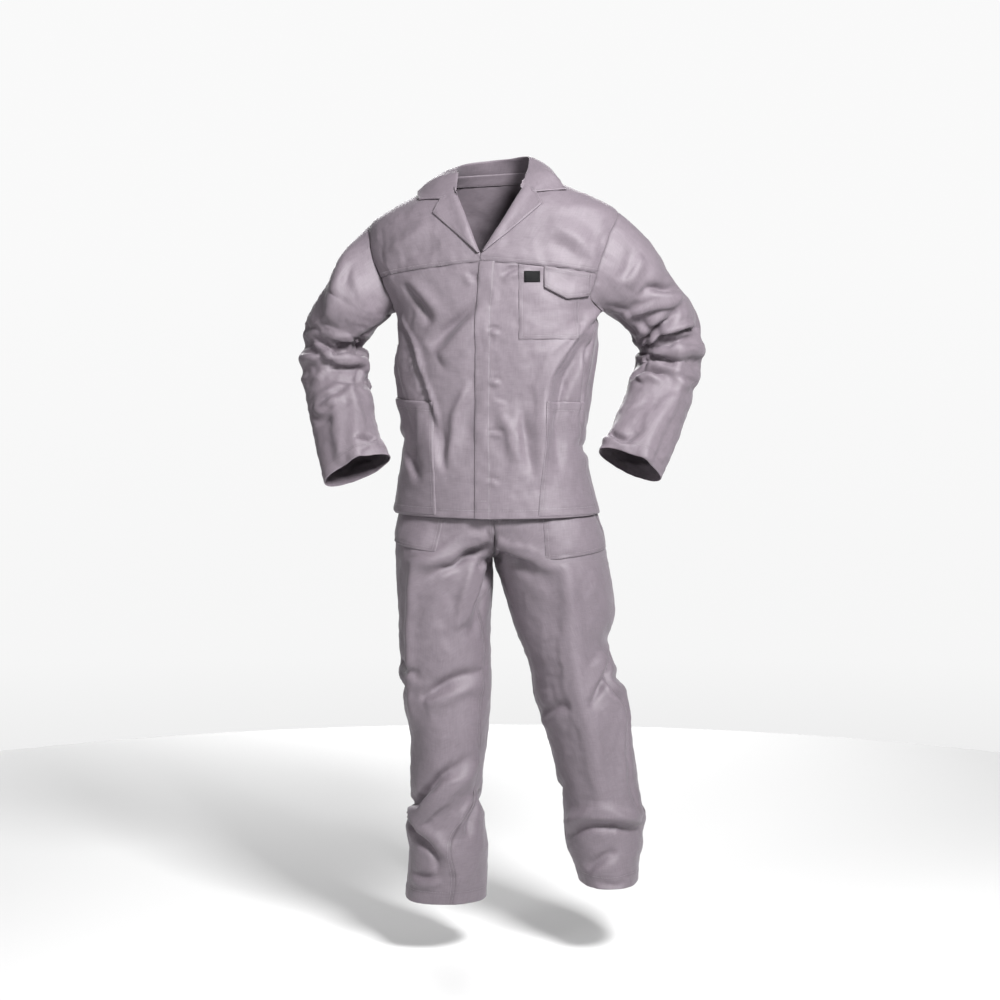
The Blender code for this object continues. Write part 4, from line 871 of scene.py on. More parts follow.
def leg_cloth(side, share, height):
    # the two legs share the centre seam, so their folds fade out towards it
    seam = smooth(0.0, 0.06, np.minimum(share % 1, 1 - share % 1))
    kept = np.where(height > CROTCH - 0.01, seam, 1.0)
    return (leg_base(side, share, height) + leg_forms[side].offset(share, height) * kept[:, None],
            leg_normal(side, share, height))


# ---------------- sheets
def spread(length, cell=CELL):
    """Shares from 0 to 1 about a cell apart, closer together at the edges."""
    close = np.array([0.0, 0.0013, 0.0027, 0.0045, 0.0068]) / length
    low, high = close[-1], 1 - close[-1]
    inner = np.linspace(low, high, max(2, int(round((high - low) * length / cell)) + 1))
    return np.concatenate([close[:-1], inner, 1 - close[:-1][::-1]])


def between(first, last, width, cell=CELL):
    """Values on a grid whose columns run from a first to a last edge."""
    first, last = np.reshape(first, (-1, 1)), np.reshape(last, (-1, 1))
    return lerp(first, last, spread(width, cell=cell))


# What each sheet of cloth measures flat, as far as it shows: its greatest width and length, its
# area, how it is held, and what it lies on.  Hems, turnings and what is hidden come on top of this.
Cut = namedtuple("Cut", "width length area held lies_on", defaults=("hung", None))
EDGES = ("first", "last", "bottom", "top")


def new_piece(name, vertices, faces, finish):
    mesh = bpy.data.meshes.new(name)
    mesh.from_pydata(vertices, [], faces)
    mesh.shade_smooth()
    mesh.materials.append(finish)
    made = bpy.data.objects.new(name, mesh)
    bpy.context.scene.collection.objects.link(made)
    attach(made, "root")
    return made


class Cloth:
    """A grid of cloth: rows run bottom to top, columns from its first to its last edge.

    first, last, bottom and top hold how far each point is from that edge.
    """

    def __init__(self, name, points, normals, closed=False):
        self.name, self.points, self.normals, self.closed = name, points, normals, closed
        across = np.linalg.norm(np.diff(points, axis=1), axis=2)
        up = np.linalg.norm(np.diff(points, axis=0), axis=2)
        zero_col, zero_row = np.zeros((len(points), 1)), np.zeros((1, points.shape[1]))
        self.first = np.concatenate([zero_col, np.cumsum(across, axis=1)], axis=1)
        self.bottom = np.concatenate([zero_row, np.cumsum(up, axis=0)], axis=0)
        self.last = self.first[:, -1:] - self.first
        self.top = self.bottom[-1:] - self.bottom
        # painted light for each point: below 0 painted shade in seams and stitched grooves, above 0
        # painted highlight on rounded edges
        self.painted_light = np.zeros(points.shape[:2])
        self.uv = np.stack([self.first - self.first.mean(), self.bottom], 2)

    # push moves the cloth out along its normals and adds painted shade or painted highlight to its colour
    def push(self, amount, painted_light=0.0):
        self.points = self.points + self.normals * amount[..., None]
        self.painted_light = self.painted_light + painted_light

    def pucker(self, edge, at, size, seed, reach=0.01, wave=0.016):
        """Small waves across a stitched line, and the groove that the stitches pull, with painted shade
        in the groove.
        """
        away = np.abs(getattr(self, edge) - at)
        swell = noise(self.points.reshape(-1, 3), wave, seed).reshape(away.shape)
        self.push(size * swell * bell(away, reach) - 0.35 * size * bell(away, 0.0022),
                  painted_light=-0.5 * bell(away, 0.0026))

    def seam(self, *edges, depth=0.0008, seed=1, size=0.0011):
        """Edges that are turned in and sewn to their neighbours, sunk a little, with painted shade along
        them.
        """
        for edge in edges:
            away = getattr(self, edge)
            self.pucker(edge, 0.0, size, seed)
            self.push(-depth * (1 - smooth(0.0, 0.0036, away)), painted_light=-0.4 * bell(away, 0.0018))

    def rolled(self, *edges, depth=0.0013, reach=0.004):
        """Free edges that round away, with a painted highlight along the edge."""
        for edge in edges:
            away = getattr(self, edge)
            curl = 1 - np.clip(away / reach, 0, 1)
            self.push(-depth * (1 - np.sqrt(1 - curl ** 2)), painted_light=0.5 * bell(away, 0.002))

    def hem(self, edge, width, seed, size=0.001):
        """Cloth turned up inside: a low band as far as its row of stitches."""
        away = getattr(self, edge)
        self.push(0.0007 * (1 - smooth(width - 0.001, width + 0.003, away)))
        self.pucker(edge, width, size, seed)

    def tuck(self, edge, reach=0.004, depth=0.0018):
        """Seam allowance: the cloth runs on a little past an edge, under its neighbour."""
        axis = 1 if edge in ("first", "last") else 0
        end, back = (0, 2) if edge in ("first", "bottom") else (-1, -3)

        def line(array, at):
            return np.take(array, [at], axis)

        def grown(array, new):
            return np.concatenate([new, array] if end == 0 else [array, new], axis)

        ahead = unit(line(self.points, end) - line(self.points, back))
        new = line(self.points, end) + ahead * reach - line(self.normals, end) * depth
        self.points = grown(self.points, new)
        self.uv, self.painted_light, self.normals = (
            grown(array, line(array, end)) for array in (self.uv, self.painted_light, self.normals))

    def build(self, thick=CLOTH, slot="grey_twill", replaces=None, finish=None):
        """The double-walled mesh of the sheet."""
        rows, cols = self.points.shape[:2]
        layer = rows * cols
        index = np.arange(layer).reshape(rows, cols)
        if self.closed:
            index = np.concatenate([index, index[:, :1]], axis=1)
        outer = np.stack([index[:-1, :-1], index[:-1, 1:], index[1:, 1:], index[1:, :-1]], 2)
        outer = outer.reshape(-1, 4)
        rims = [index[0, ::-1], index[-1], index[:, 0], index[::-1, -1]]
        faces = [outer, outer[:, ::-1] + layer]
        for rim in rims[:2] if self.closed else rims:
            faces.append(np.stack([rim[:-1], rim[1:], rim[1:] + layer, rim[:-1] + layer], 1))
        faces = np.concatenate(faces)
        flow = np.cross(self.points[1, 0] - self.points[0, 0], self.points[0, 1] - self.points[0, 0])
        if flow @ self.normals[0, 0] > 0:
            faces = faces[:, ::-1]
        vertices = np.stack([self.points, self.points - self.normals * thick]).reshape(-1, 3)
        made = new_piece(self.name + "_cloth", vertices.tolist(), faces.tolist(), finish or TWILL)
        mesh = made.data
        # the painted shade and painted highlight go to the mesh as a point attribute that the cloth
        # material reads
        painted_light = mesh.attributes.new("painted_light", "FLOAT", "POINT")
        painted_light.data.foreach_set("value", np.tile(self.painted_light.ravel(), 2).astype(np.float32))
        flat = np.tile(self.uv.reshape(-1, 2), (2, 1)).astype(np.float32)
        corners = np.zeros(len(mesh.loops), dtype=np.int32)
        mesh.loops.foreach_get("vertex_index", corners)
        mesh.uv_layers.new(name="UVMap").data.foreach_set("uv", flat[corners].ravel())
        if replaces:
            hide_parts(replaces)


# ---------------- materials
def new_material(name):
    material = bpy.data.materials.new(name)
    material.use_nodes = True
    return material, material.node_tree


def feed(tree, node, inputs):
    """Set a node's inputs, each to a value or to another node's output."""
    for socket, value in inputs.items():
        if isinstance(value, bpy.types.NodeSocket):
            tree.links.new(value, node.inputs[socket])
        else:
            node.inputs[socket].default_value = value


def new_node(tree, kind, inputs=None, **settings):
    node = tree.nodes.new("ShaderNode" + kind)
    for name, value in settings.items():
        setattr(node, name, value)
    feed(tree, node, inputs or {})
    return node


def shade(value):
    return (value, value, value, 1.0)


def twill(name, colour, weave=0.35, painted_light_gain=0.16, sheen=0.12, specular=0.5):
    """Woven cloth: fine diagonal ribs, uneven yarn, slow changes of shade, painted shade in seams and
    grooves, painted highlights on rounded edges.
    """
    material, tree = new_material(name)
    place = new_node(tree, "TexCoord").outputs

    def mapped(**inputs):
        return new_node(tree, "Mapping", {"Vector": place["UV"], **inputs}).outputs["Vector"]

    def cloud(vector, size, detail):
        return new_node(tree, "TexNoise", {"Vector": vector, "Scale": 1 / size,
                                           "Detail": detail}).outputs["Fac"]

    def slubs(across, along):
        """Thick places in the yarns: short streaks that run one way."""
        return cloud(mapped(Scale=(1 / across, 1 / along, 1)), 1.0, 2)

    def ramp(source, low, high, first, last):
        made = new_node(tree, "ValToRGB", {"Fac": source})
        for band, value, position in zip(made.color_ramp.elements, (low, high), (first, last)):
            band.position, band.color = position, shade(value)
        return made.outputs["Color"]

    ribs = new_node(tree, "TexWave", {
        "Vector": mapped(Rotation=(0, 0, math.radians(62))), "Scale": 300, "Distortion": 0.7,
        "Detail": 1.0, "Detail Scale": 2.0}).outputs["Fac"]
    yarn, slow, mottle = (cloud(place["Object"], size, detail)
                          for size, detail in ((0.0022, 3), (0.14, 2), (0.009, 4)))
    # the point attribute holds painted light: below 0 painted shade in seams and grooves, above 0 painted
    # highlight on rounded edges
    painted_light = new_node(tree, "Attribute", attribute_name="painted_light").outputs["Fac"]
    painted_light_level = new_node(tree, "Math", {0: painted_light, 1: 0.5, 2: 0.5}, operation="MULTIPLY_ADD").outputs[0]
    base = colour
    for layer, amount in ((ramp(slow, 0.93, 1.0, 0.35, 0.65), 1.0),
                          (ramp(mottle, 0.92, 1.0, 0.3, 0.7), 1.0),
                          (ramp(slubs(0.0016, 0.03), 0.89, 1.0, 0.34, 0.62), 1.0),
                          (ramp(slubs(0.022, 0.0016), 0.89, 1.0, 0.34, 0.62), 1.0),
                          (ramp(painted_light_level, 1 - 2 * painted_light_gain, 1 + painted_light_gain, 0.0, 1.0), 1.0),
                          (ramp(ribs, 0.9, 1.0, 0.1, 0.7), weave)):
        base = new_node(tree, "Mix", {0: amount, 6: base, 7: layer}, data_type="RGBA",
                        blend_type="MULTIPLY").outputs[2]
    roughness = new_node(tree, "MapRange", {"Value": mottle, "To Min": 0.48, "To Max": 0.62})
    bump = {}
    for source, strength, distance in ((ribs, weave, 0.00025), (yarn, 0.35, 0.0004),
                                       (mottle, 0.25, 0.001)):
        made = new_node(tree, "Bump", {"Height": source, "Strength": strength,
                                       "Distance": distance, **bump})
        bump = {"Normal": made.outputs["Normal"]}
    feed(tree, tree.nodes["Principled BSDF"], {
        "Base Color": base, "Roughness": roughness.outputs["Result"],
        "Specular IOR Level": specular, "Sheen Weight": sheen, "Sheen Roughness": 0.45,
        "Sheen Tint": (0.95, 0.92, 0.98, 1.0), **bump})
    return material


TWILL = twill("grey_twill", (0.212, 0.177, 0.206, 1.0))
THREAD = twill("grey_thread", (0.38, 0.34, 0.372, 1.0), weave=0.1, painted_light_gain=0.0, sheen=0.2)
LABEL_CLOTH = twill("label_cloth", (0.006, 0.006, 0.007, 1.0), weave=0.6, sheen=0.0,
                    specular=0.15)


# ---------------- stitches
class Stitches:
    """Rows of separate stitches, gathered into one piece."""

    PITCH, HALF_LENGTH, HALF_WIDTH, HEIGHT, PROUD = 0.0032, 0.00125, 0.00032, 0.00042, 0.0001

    def __init__(self, name):
        self.name, self.vertices, self.faces = name, [], []

    def row(self, points, normals):
        run = run_along(points)
        count = int(run[-1] / self.PITCH)
        if count < 1:
            return
        at = (np.arange(count) + 0.5) * run[-1] / count
        spot, ahead, behind = (at_places(at + shift, run, points) for shift in (0, 0.001, -0.001))
        out = unit(at_places(at, run, normals))
        along = unit(ahead - behind)
        side = unit(np.cross(along, out))
        spot = spot + out * self.PROUD
        corners = [spot - along * self.HALF_LENGTH, spot + along * self.HALF_LENGTH,
                   spot - side * self.HALF_WIDTH, spot + side * self.HALF_WIDTH,
                   spot - out * self.HEIGHT, spot + out * self.HEIGHT]
        start = len(self.vertices) * 6
        self.vertices += list(np.stack(corners, 1))
        for first in range(start, start + 6 * count, 6):
            for end, swap in ((0, False), (1, True)):
                for a, b in ((2, 4), (4, 3), (3, 5), (5, 2)):
                    face = (first + end, first + b, first + a)
                    self.faces.append(face[::-1] if swap else face)

    def along(self, cloth, edge, at, start=0.0):
        """A row at a distance from one edge of a sheet, from a share of that edge's length on."""
        away, points, normals = getattr(cloth, edge), cloth.points, cloth.normals
        if edge in ("bottom", "top"):
            away, points, normals = (a.swapaxes(0, 1) for a in (away, points, normals))
        if edge in ("last", "top"):
            away, points, normals = (a[:, ::-1] for a in (away, points, normals))
        spots, outs = (np.array([at_places(at, *line) for line in zip(away, values)])
                       for values in (points, normals))
        begin = int(start * (len(spots) - 1))
        self.row(spots[begin:], outs[begin:])

    def tack(self, cloth, row_edge, row_at, col_edge, col_at, length=0.008):
        """A bartack: a few rows of stitches packed side by side."""
        away = (np.abs(getattr(cloth, row_edge) - row_at)
                + np.abs(getattr(cloth, col_edge) - col_at))
        i, j = np.unravel_index(np.argmin(away), away.shape)
        middle, out = cloth.points[i, j], cloth.normals[i, j]
        k = min(j + 1, cloth.points.shape[1] - 1)
        along = unit(cloth.points[i, k] - cloth.points[i, k - 1])
        side = unit(np.cross(along, out))
        for shift in (-0.0009, 0.0, 0.0009):
            line = np.array([middle + side * shift - along * length / 2,
                             middle + side * shift + along * length / 2])
            self.row(line, np.array([out, out]))

    def build(self):
        vertices = np.concatenate(self.vertices).reshape(-1, 3)
        new_piece(self.name, vertices.tolist(), self.faces, THREAD)


jacket_thread = Stitches("jacket_stitching")
trouser_thread = Stitches("trouser_stitching")


# ---------------- jacket panels
# rough sizes of the sheets, from which the number of their cells follows
FRONT_LENGTH, YOKE_LENGTH, BACK_LENGTH, BACK_WIDTH = 0.49, 0.21, 0.665, 0.5
FRONT_WIDTHS, YOKE_WIDTHS = {-1: 0.27, 1: 0.29}, {-1: 0.27, 1: 0.25}
SLEEVE_AROUND, SLEEVE_DOWN, LAPEL_LENGTH, LAPEL_WIDTH = 0.44, 0.6, 0.125, 0.07
COLLAR_AROUND, COLLAR_ACROSS, COLLAR_CELL = 0.42, 0.095, 0.0035
LEG_LENGTH, LEG_WIDTH, WAISTBAND_WIDTH = 0.93, 0.27, 0.042

UNDERLAP, UNDERLAP_FADE = 0.0019, 0.022    # how far the right front drops under the left one
BUTTON_HEIGHTS = [1.336, 1.236, 1.136, 1.036, 0.944]     # hidden under the placket
BUTTON_FROM_EDGE = 0.016
HEM_WIDTH = 0.016
DOUBLE_ROW = (0.0018, 0.008)      # two rows of stitches, from an edge
YOKE_ROWS, FLAP_ROWS = (0.0018, 0.0082), (0.0018, 0.0072)


def edge_turn(side, height, arm_marks):
    turn = np.where(height < SHOULDER, mark(arm_marks, height), 90.0)
    return side * np.where(height < ARMPIT, SIDE_SEAM, turn)


def cloth_grid(cloth_at, *stations):
    """Points and normals of a surface on a grid of stations."""
    stations = np.broadcast_arrays(*stations)
    shape = stations[0].shape + (3,)
    return [values.reshape(shape) for values in cloth_at(*(s.ravel() for s in stations))]


def front_panel(name, side, centre_heights, side_heights, width):
    centre = turn_at(mark(FRONT_EDGES[side], centre_heights), centre_heights)
    turn = between(centre, edge_turn(side, side_heights, ARMHOLE_FRONT), width)
    height = between(centre_heights, side_heights, width)
    points, normals = cloth_grid(jacket_cloth, turn, height)
    if side < 0:
        edge = mark(LEFT_EDGE, height.ravel()).reshape(height.shape) - 0.006
        under = np.clip((points[..., 0] - edge + UNDERLAP_FADE) / UNDERLAP_FADE, 0.0, 1.0)
        points = points - normals * (UNDERLAP * under)[..., None]
    return Cloth(name, points, normals)


def button_bulges(cloth):
    """The low bumps that the hidden buttons press into the cloth over them."""
    for height in BUTTON_HEIGHTS:
        spot = jacket_cloth(turn_at([mark(LEFT_EDGE, height) + BUTTON_FROM_EDGE], [height]),
                            np.array([height]))[0][0]
        away = np.linalg.norm(cloth.points - spot, axis=2)
        cloth.push(0.001 * np.exp(-(away / 0.0085) ** 4) + 0.0008 * bell(away, 0.02))


share = spread(FRONT_LENGTH)
front_sides, front_centres = (lerp(low, high, share) for low, high in zip(HEM_ROW, SEAM_ROW))
right_front, left_front = (
    front_panel(word + "_front", side, front_centres, front_sides, FRONT_WIDTHS[side])
    for side, word in SIDES)
YOKE_SIDES = np.concatenate([ARM_HEIGHTS[YOKE_STEP:], np.linspace(SHOULDER, NECK, 6)[1:]])
share = spread(YOKE_LENGTH)
yoke_sides = np.interp(share * (len(YOKE_SIDES) - 1), np.arange(len(YOKE_SIDES)), YOKE_SIDES)
yoke_centres = lerp(SEAM_ROW.centre, NECK, share)
right_yoke, left_yoke = (
    front_panel(word + "_yoke", side, yoke_centres, yoke_sides, YOKE_WIDTHS[side])
    for side, word in SIDES)

for cloth, seed in ((right_front, 101), (left_front, 107)):
    cloth.hem("bottom", HEM_WIDTH, seed)
    cloth.rolled("bottom")
    cloth.seam("last", seed=seed + 1)
    cloth.seam("top", depth=0.0014, seed=seed + 2, size=0.0014)
    jacket_thread.along(cloth, "bottom", HEM_WIDTH)
button_bulges(left_front)
left_front.rolled("first", depth=0.0022, reach=0.0058)
for cloth, seed in ((right_yoke, 113), (left_yoke, 127)):
    cloth.seam("bottom", depth=0.0006, seed=seed, size=0.0014)
    for at in YOKE_ROWS:
        cloth.pucker("bottom", at, 0.0009, seed + 1)
        jacket_thread.along(cloth, "bottom", at)
    cloth.seam("last", seed=seed + 2)
    cloth.rolled("first")
for cloth in (right_front, left_front):
    cloth.tuck("top", reach=0.006)
right_front.build(replaces="jacket_right_front")
left_front.build(replaces="jacket_left_front")
right_yoke.build(replaces="right_yoke")
left_yoke.build(replaces="left_yoke")

heights = lerp(HEM_ROW.side, NECK, spread(BACK_LENGTH))
turns = between(edge_turn(1, heights, ARMHOLE_BACK), 360 + edge_turn(-1, heights, ARMHOLE_BACK),
                BACK_WIDTH)
jacket_back = Cloth("back", *cloth_grid(jacket_cloth, turns, heights[:, None]))
jacket_back.hem("bottom", HEM_WIDTH, 131)
jacket_back.rolled("bottom")
for edge, seed in (("first", 133), ("last", 135)):
    jacket_back.seam(edge, seed=seed)
jacket_thread.along(jacket_back, "bottom", HEM_WIDTH)
for edge in ("first", "last"):
    jacket_back.tuck(edge)
jacket_back.build(replaces="jacket_back")

# ---------------- sleeves
CUFF_HEM = 0.022
for (side, word), seed in zip(SIDES, (141, 151)):
    turns = 180 + 360 * spread(SLEEVE_AROUND)
    at = sleeves[side].length * spread(SLEEVE_DOWN)
    sleeve = Cloth(word + "_sleeve", *cloth_grid(functools.partial(sleeve_cloth, side), turns,
                                                 at[:, None]))
    sleeve.pucker("bottom", 0.0, 0.0016, seed)
    # the armhole edge sinks a little, with painted shade along the seam
    sleeve.push(-0.0004 * (1 - smooth(0.0, 0.004, sleeve.bottom)),
                painted_light=-0.25 * bell(sleeve.bottom, 0.0018))
    sleeve.hem("top", CUFF_HEM, seed + 1, size=0.0012)
    sleeve.rolled("top")
    sleeve.seam("first", "last", seed=seed + 2)
    jacket_thread.along(sleeve, "top", CUFF_HEM)
    sleeve.tuck("bottom", reach=0.005, depth=0.0022)
    sleeve.build(replaces=word + "_sleeve")


# ---------------- what is sewn on the fronts
PLACKET_LIFT, PATCH_LIFT, FLAP_LIFT, LABEL_LIFT, LAPEL_LIFT = 0.0012, 0.0014, 0.0032, 0.0034, 0.0032
POCKET_HEM = 0.017
POCKET_FOOT = 0.8785


def laid(name, lift, turn, height):
    points, normals = cloth_grid(jacket_cloth, turn, height)
    return Cloth(name, points + normals * lift, normals)


def jacket_patch(name, inner, outer, width, tall, lift=PATCH_LIFT):
    """A patch on the jacket between two edges, functions that turn shares into turns and heights."""
    share = spread(tall)
    (a_turn, a_height), (b_turn, b_height) = inner(share), outer(share)
    return laid(name, lift, between(a_turn, b_turn, width), between(a_height, b_height, width))


def by_x(low, high):
    """A straight edge between two (x, height) corners."""
    def edge(share):
        x, height = lerp(low[0], high[0], share), lerp(low[1], high[1], share)
        return turn_at(x, height), height
    return edge


def by_seam(side, low, high):
    """An edge just in front of the side seam, between two heights."""
    def edge(share):
        return np.full(len(share), side * (SIDE_SEAM - 0.4)), lerp(low, high, share)
    return edge


def topstitched(cloth, thread, edge, rows, seed, size=0.0007, start=0.0):
    for at in rows:
        cloth.pucker(edge, at, size, seed, reach=0.006)
    for at in rows:
        thread.along(cloth, edge, at, start)


share = spread(FRONT_LENGTH)
height = lerp(HEM_ROW.centre + 0.0004, SEAM_ROW.centre - 0.0012, share)
edge_x = mark(LEFT_EDGE, height)
centre, second = turn_at(edge_x - 0.0012, height), turn_at(edge_x + PLACKET_WIDTH, height)
turn = between(centre, second, PLACKET_WIDTH, cell=0.003)
placket = laid("placket", PLACKET_LIFT, turn, height[:, None])
# the sewn edge of the placket sinks into a groove, with painted shade in it
placket.push(-0.0016 * (1 - smooth(0.0, 0.003, placket.last)),
             painted_light=-0.5 * bell(placket.last, 0.0022))
placket.rolled("first", depth=0.0024, reach=0.007)
placket.hem("bottom", HEM_WIDTH, 161)
placket.pucker("last", 0.0022, 0.0012, 163, reach=0.012, wave=0.03)
button_bulges(placket)
jacket_thread.along(placket, "last", 0.004)
jacket_thread.along(placket, "first", 0.0026)
jacket_thread.along(placket, "bottom", HEM_WIDTH)
jacket_thread.tack(placket, "bottom", 0.035, "last", 0.012, length=0.012)
placket.build(thick=0.0012, replaces="front_placket")

left_pocket = jacket_patch("left_lower_pocket", by_x((0.088, POCKET_FOOT), (0.104, 1.097)),
                           by_seam(1, POCKET_FOOT, 1.095), 0.115, 0.219)
right_pocket = jacket_patch("right_lower_pocket", by_x((-0.107, POCKET_FOOT), (-0.113, 1.096)),
                            by_seam(-1, POCKET_FOOT, 1.1028), 0.095, 0.219)
for pocket, seed in ((left_pocket, 171), (right_pocket, 181)):
    pocket.push(0.0022 * bell(pocket.top, 0.03) * smooth(0, 0.02, pocket.first)
                * smooth(0, 0.02, pocket.last))
    pocket.hem("top", POCKET_HEM, seed, size=0.0009)
    topstitched(pocket, jacket_thread, "first", DOUBLE_ROW, seed + 1)
    pocket.hem("bottom", HEM_WIDTH - 0.002, seed + 2)
    pocket.rolled("top", "first", "bottom")
    pocket.seam("last", seed=seed + 3)
    jacket_thread.along(pocket, "top", POCKET_HEM)
    jacket_thread.along(pocket, "bottom", HEM_WIDTH - 0.0015)
    jacket_thread.tack(pocket, "top", 0.003, "first", 0.005)
left_pocket.build(replaces="left_lower_pocket")
right_pocket.build(replaces="right_lower_pocket")

chest = jacket_patch("chest_pocket", by_x((0.051, 1.214), (0.05, 1.358)),
                     by_x((0.161, 1.218), (0.17, 1.341)), 0.115, 0.135)
for edge, rows, seed in (("first", DOUBLE_ROW, 191), ("last", DOUBLE_ROW, 193),
                         ("bottom", DOUBLE_ROW, 195), ("top", (0.018,), 196)):
    topstitched(chest, jacket_thread, edge, rows, seed)
chest.rolled(*EDGES)
chest.build(replaces="chest_pocket")

# the flap's lower and upper edge, corner by corner: share across, x and height
FLAP_FOOT = [(0.0, 0.099, 1.313), (0.48, 0.141, 1.292), (1.0, 0.185, 1.298)]
FLAP_HEAD = [(0.0, 0.099, 1.3535), (1.0, 0.19, 1.3385)]
(foot_x, foot_height), (head_x, head_height) = (
    straight(edge, spread(0.092)) for edge in (FLAP_FOOT, FLAP_HEAD))
flap_x, flap_height = between(foot_x, head_x, 0.045).T, between(foot_height, head_height, 0.045).T
flap = laid("flap", FLAP_LIFT, turn_at(flap_x, flap_height), flap_height)
flap.push(0.0044 * bell(flap.bottom, 0.02))
for edge, seed in zip(EDGES, (201, 203, 205, 207)):
    topstitched(flap, jacket_thread, edge, FLAP_ROWS, seed)
flap.rolled(*EDGES)
flap.build(thick=0.002, replaces="chest_pocket_flap")

label = jacket_patch("label", by_x((0.062, 1.323), (0.062, 1.344)),
                     by_x((0.092, 1.323), (0.092, 1.344)), 0.031, 0.021, lift=LABEL_LIFT)
label.rolled(*EDGES, depth=0.0006, reach=0.002)
label.build(thick=0.0008, slot="label_cloth", replaces="label", finish=LABEL_CLOTH)


# ---------------- lapels and collar
Lapel = namedtuple("Lapel", "foot point notch gorge_height")
LAPELS = {-1: Lapel(Mark(1.38, -0.026), Mark(1.462, -0.115), Mark(1.4885, -0.1), 1.491),
          1: Lapel(Mark(1.382, -0.014), Mark(1.47, 0.097), Mark(1.4935, 0.086), 1.499)}
LAPEL_POINT_SHARE = 0.72
TUCKED = 0.01             # how far a lapel runs on under the collar at the roll

for (side, word), seed in zip(SIDES, (211, 221)):
    lapel = LAPELS[side]
    share = spread(LAPEL_LENGTH)
    roll_height = lerp(lapel.foot.height + 0.001, lapel.gorge_height + TUCKED, share)
    roll_x = mark(FRONT_EDGES[side], roll_height) + side * 0.0005
    corners = zip((0, LAPEL_POINT_SHARE, 1), (lapel.foot, lapel.point, lapel.notch))
    outer_height, outer_x = straight([(at, *corner) for at, corner in corners], share)
    height = between(roll_height, outer_height, LAPEL_WIDTH)
    turn = turn_at(between(roll_x, outer_x, LAPEL_WIDTH), height)
    cloth = laid(word + "_lapel", LAPEL_LIFT, turn, height)
    # the roll is a soft fold, and the free edge stands off a little
    cloth.push(0.0022 * bell(cloth.first - 0.01, 0.01) + 0.001 * bell(cloth.last, 0.012))
    cloth.rolled("first", depth=0.0052, reach=0.006)
    topstitched(cloth, jacket_thread, "last", (0.005,), seed)
    cloth.rolled("last", depth=0.0022, reach=0.005)
    cloth.rolled("top")
    cloth.build(thick=0.0018, replaces=word + "_lapel")

CollarRow = namedtuple("CollarRow", "station edge_turn edge_height fold_x fold_y fold_height")
COLLAR_ROWS = [
    CollarRow(0, -66, 1.504, -0.066, -0.026, 1.536),
    CollarRow(1, -90, 1.517, -0.07, 0.004, 1.549),
    CollarRow(2, -118, 1.518, -0.064, 0.036, 1.557),
    CollarRow(3, -146, 1.511, -0.043, 0.062, 1.565),
    CollarRow(4, -180, 1.506, -0.004, 0.076, 1.571),
    CollarRow(5, -214, 1.512, 0.039, 0.062, 1.574),
    CollarRow(6, -242, 1.519, 0.065, 0.032, 1.575),
    CollarRow(7, -270, 1.518, 0.0725, -0.002, 1.569),
    CollarRow(8, -292, 1.506, 0.069, -0.036, 1.544),
]
COLLAR_SWELL, NECK_SEAM_INSET, COLLAR_LIFT = 0.008, 0.04, 0.0074
CollarEnd = namedtuple("CollarEnd", "roll_height notch point")
COLLAR_ENDS = {-1: CollarEnd(1.4935, Mark(1.4875, -0.099), Mark(1.489, -0.141)),
               1: CollarEnd(1.5015, Mark(1.4925, 0.086), Mark(1.496, 0.143))}


def on_jacket(turn, height, out=0.0):
    turn, height = np.atleast_1d(turn).astype(float), np.atleast_1d(height).astype(float)
    return (jacket_base(turn, height) + jacket_normal(turn, height) * out)[0]


def collar_end(side):
    end = COLLAR_ENDS[side]
    roll_x = float(mark(FRONT_EDGES[side], end.roll_height))
    start = Mark(end.roll_height, roll_x + side * 0.002)
    half_way = Mark((start.height + end.notch.height) / 2, (start.place + end.notch.place) / 2)
    line = [on_jacket(turn_at(s.place, s.height), s.height, COLLAR_LIFT)
            for s in (start, half_way, end.notch, end.point)]
    return [line[0] + (side * 0.003, 0.006, 0.012), line[0] + (side * 0.002, 0.003, 0.005)] + line


def collar_line(station):
    turn, edge_height, fold_x, fold_y, fold_height = map(float, columns(COLLAR_ROWS, station))
    fold = np.array((fold_x, fold_y, fold_height - HOLD_HEIGHT))
    seam = lerp(on_jacket(turn, NECK + 0.001), fold, NECK_SEAM_INSET)
    edge = on_jacket(turn, edge_height, COLLAR_LIFT)
    swell = on_jacket(turn, NECK, COLLAR_SWELL) - on_jacket(turn, NECK)
    return [seam, lerp(seam, fold, 0.6), fold,
            lerp(fold, edge, 0.33) + swell, lerp(fold, edge, 0.67) + swell, edge]


def facing(points, row, col, way):
    """The normals of a grid of points, turned so that one of them faces a given way."""
    normals = unit(np.cross(np.gradient(points, axis=1), np.gradient(points, axis=0)))
    return normals * (1 if normals[row, col] @ way > 0 else -1)


COLLAR_STATIONS = [-1.0] + [n / 2 for n in range(17)] + [9.0]
lines = np.array([collar_end(-1)] + [collar_line(at) for at in COLLAR_STATIONS[1:-1]]
                 + [collar_end(1)])
along = eased_arrays(COLLAR_STATIONS, lines,
                     lerp(-1.0, 9.0, spread(COLLAR_AROUND, cell=COLLAR_CELL)))
CROSS_PLACES = [0.0, 0.19, 0.32, 0.54, 0.77, 1.0]        # the line's points, as shares across
cross = spread(COLLAR_ACROSS, cell=COLLAR_CELL)
points = eased_arrays(CROSS_PLACES, along.swapaxes(0, 1), cross).swapaxes(0, 1)
collar = Cloth("collar", points, facing(points, len(points) // 2, -3, (0, 1, 0)))
collar.push(0.0012 * noise(points.reshape(-1, 3), 0.045, 231).reshape(points.shape[:2])
            * smooth(0.0, 0.02, collar.first))
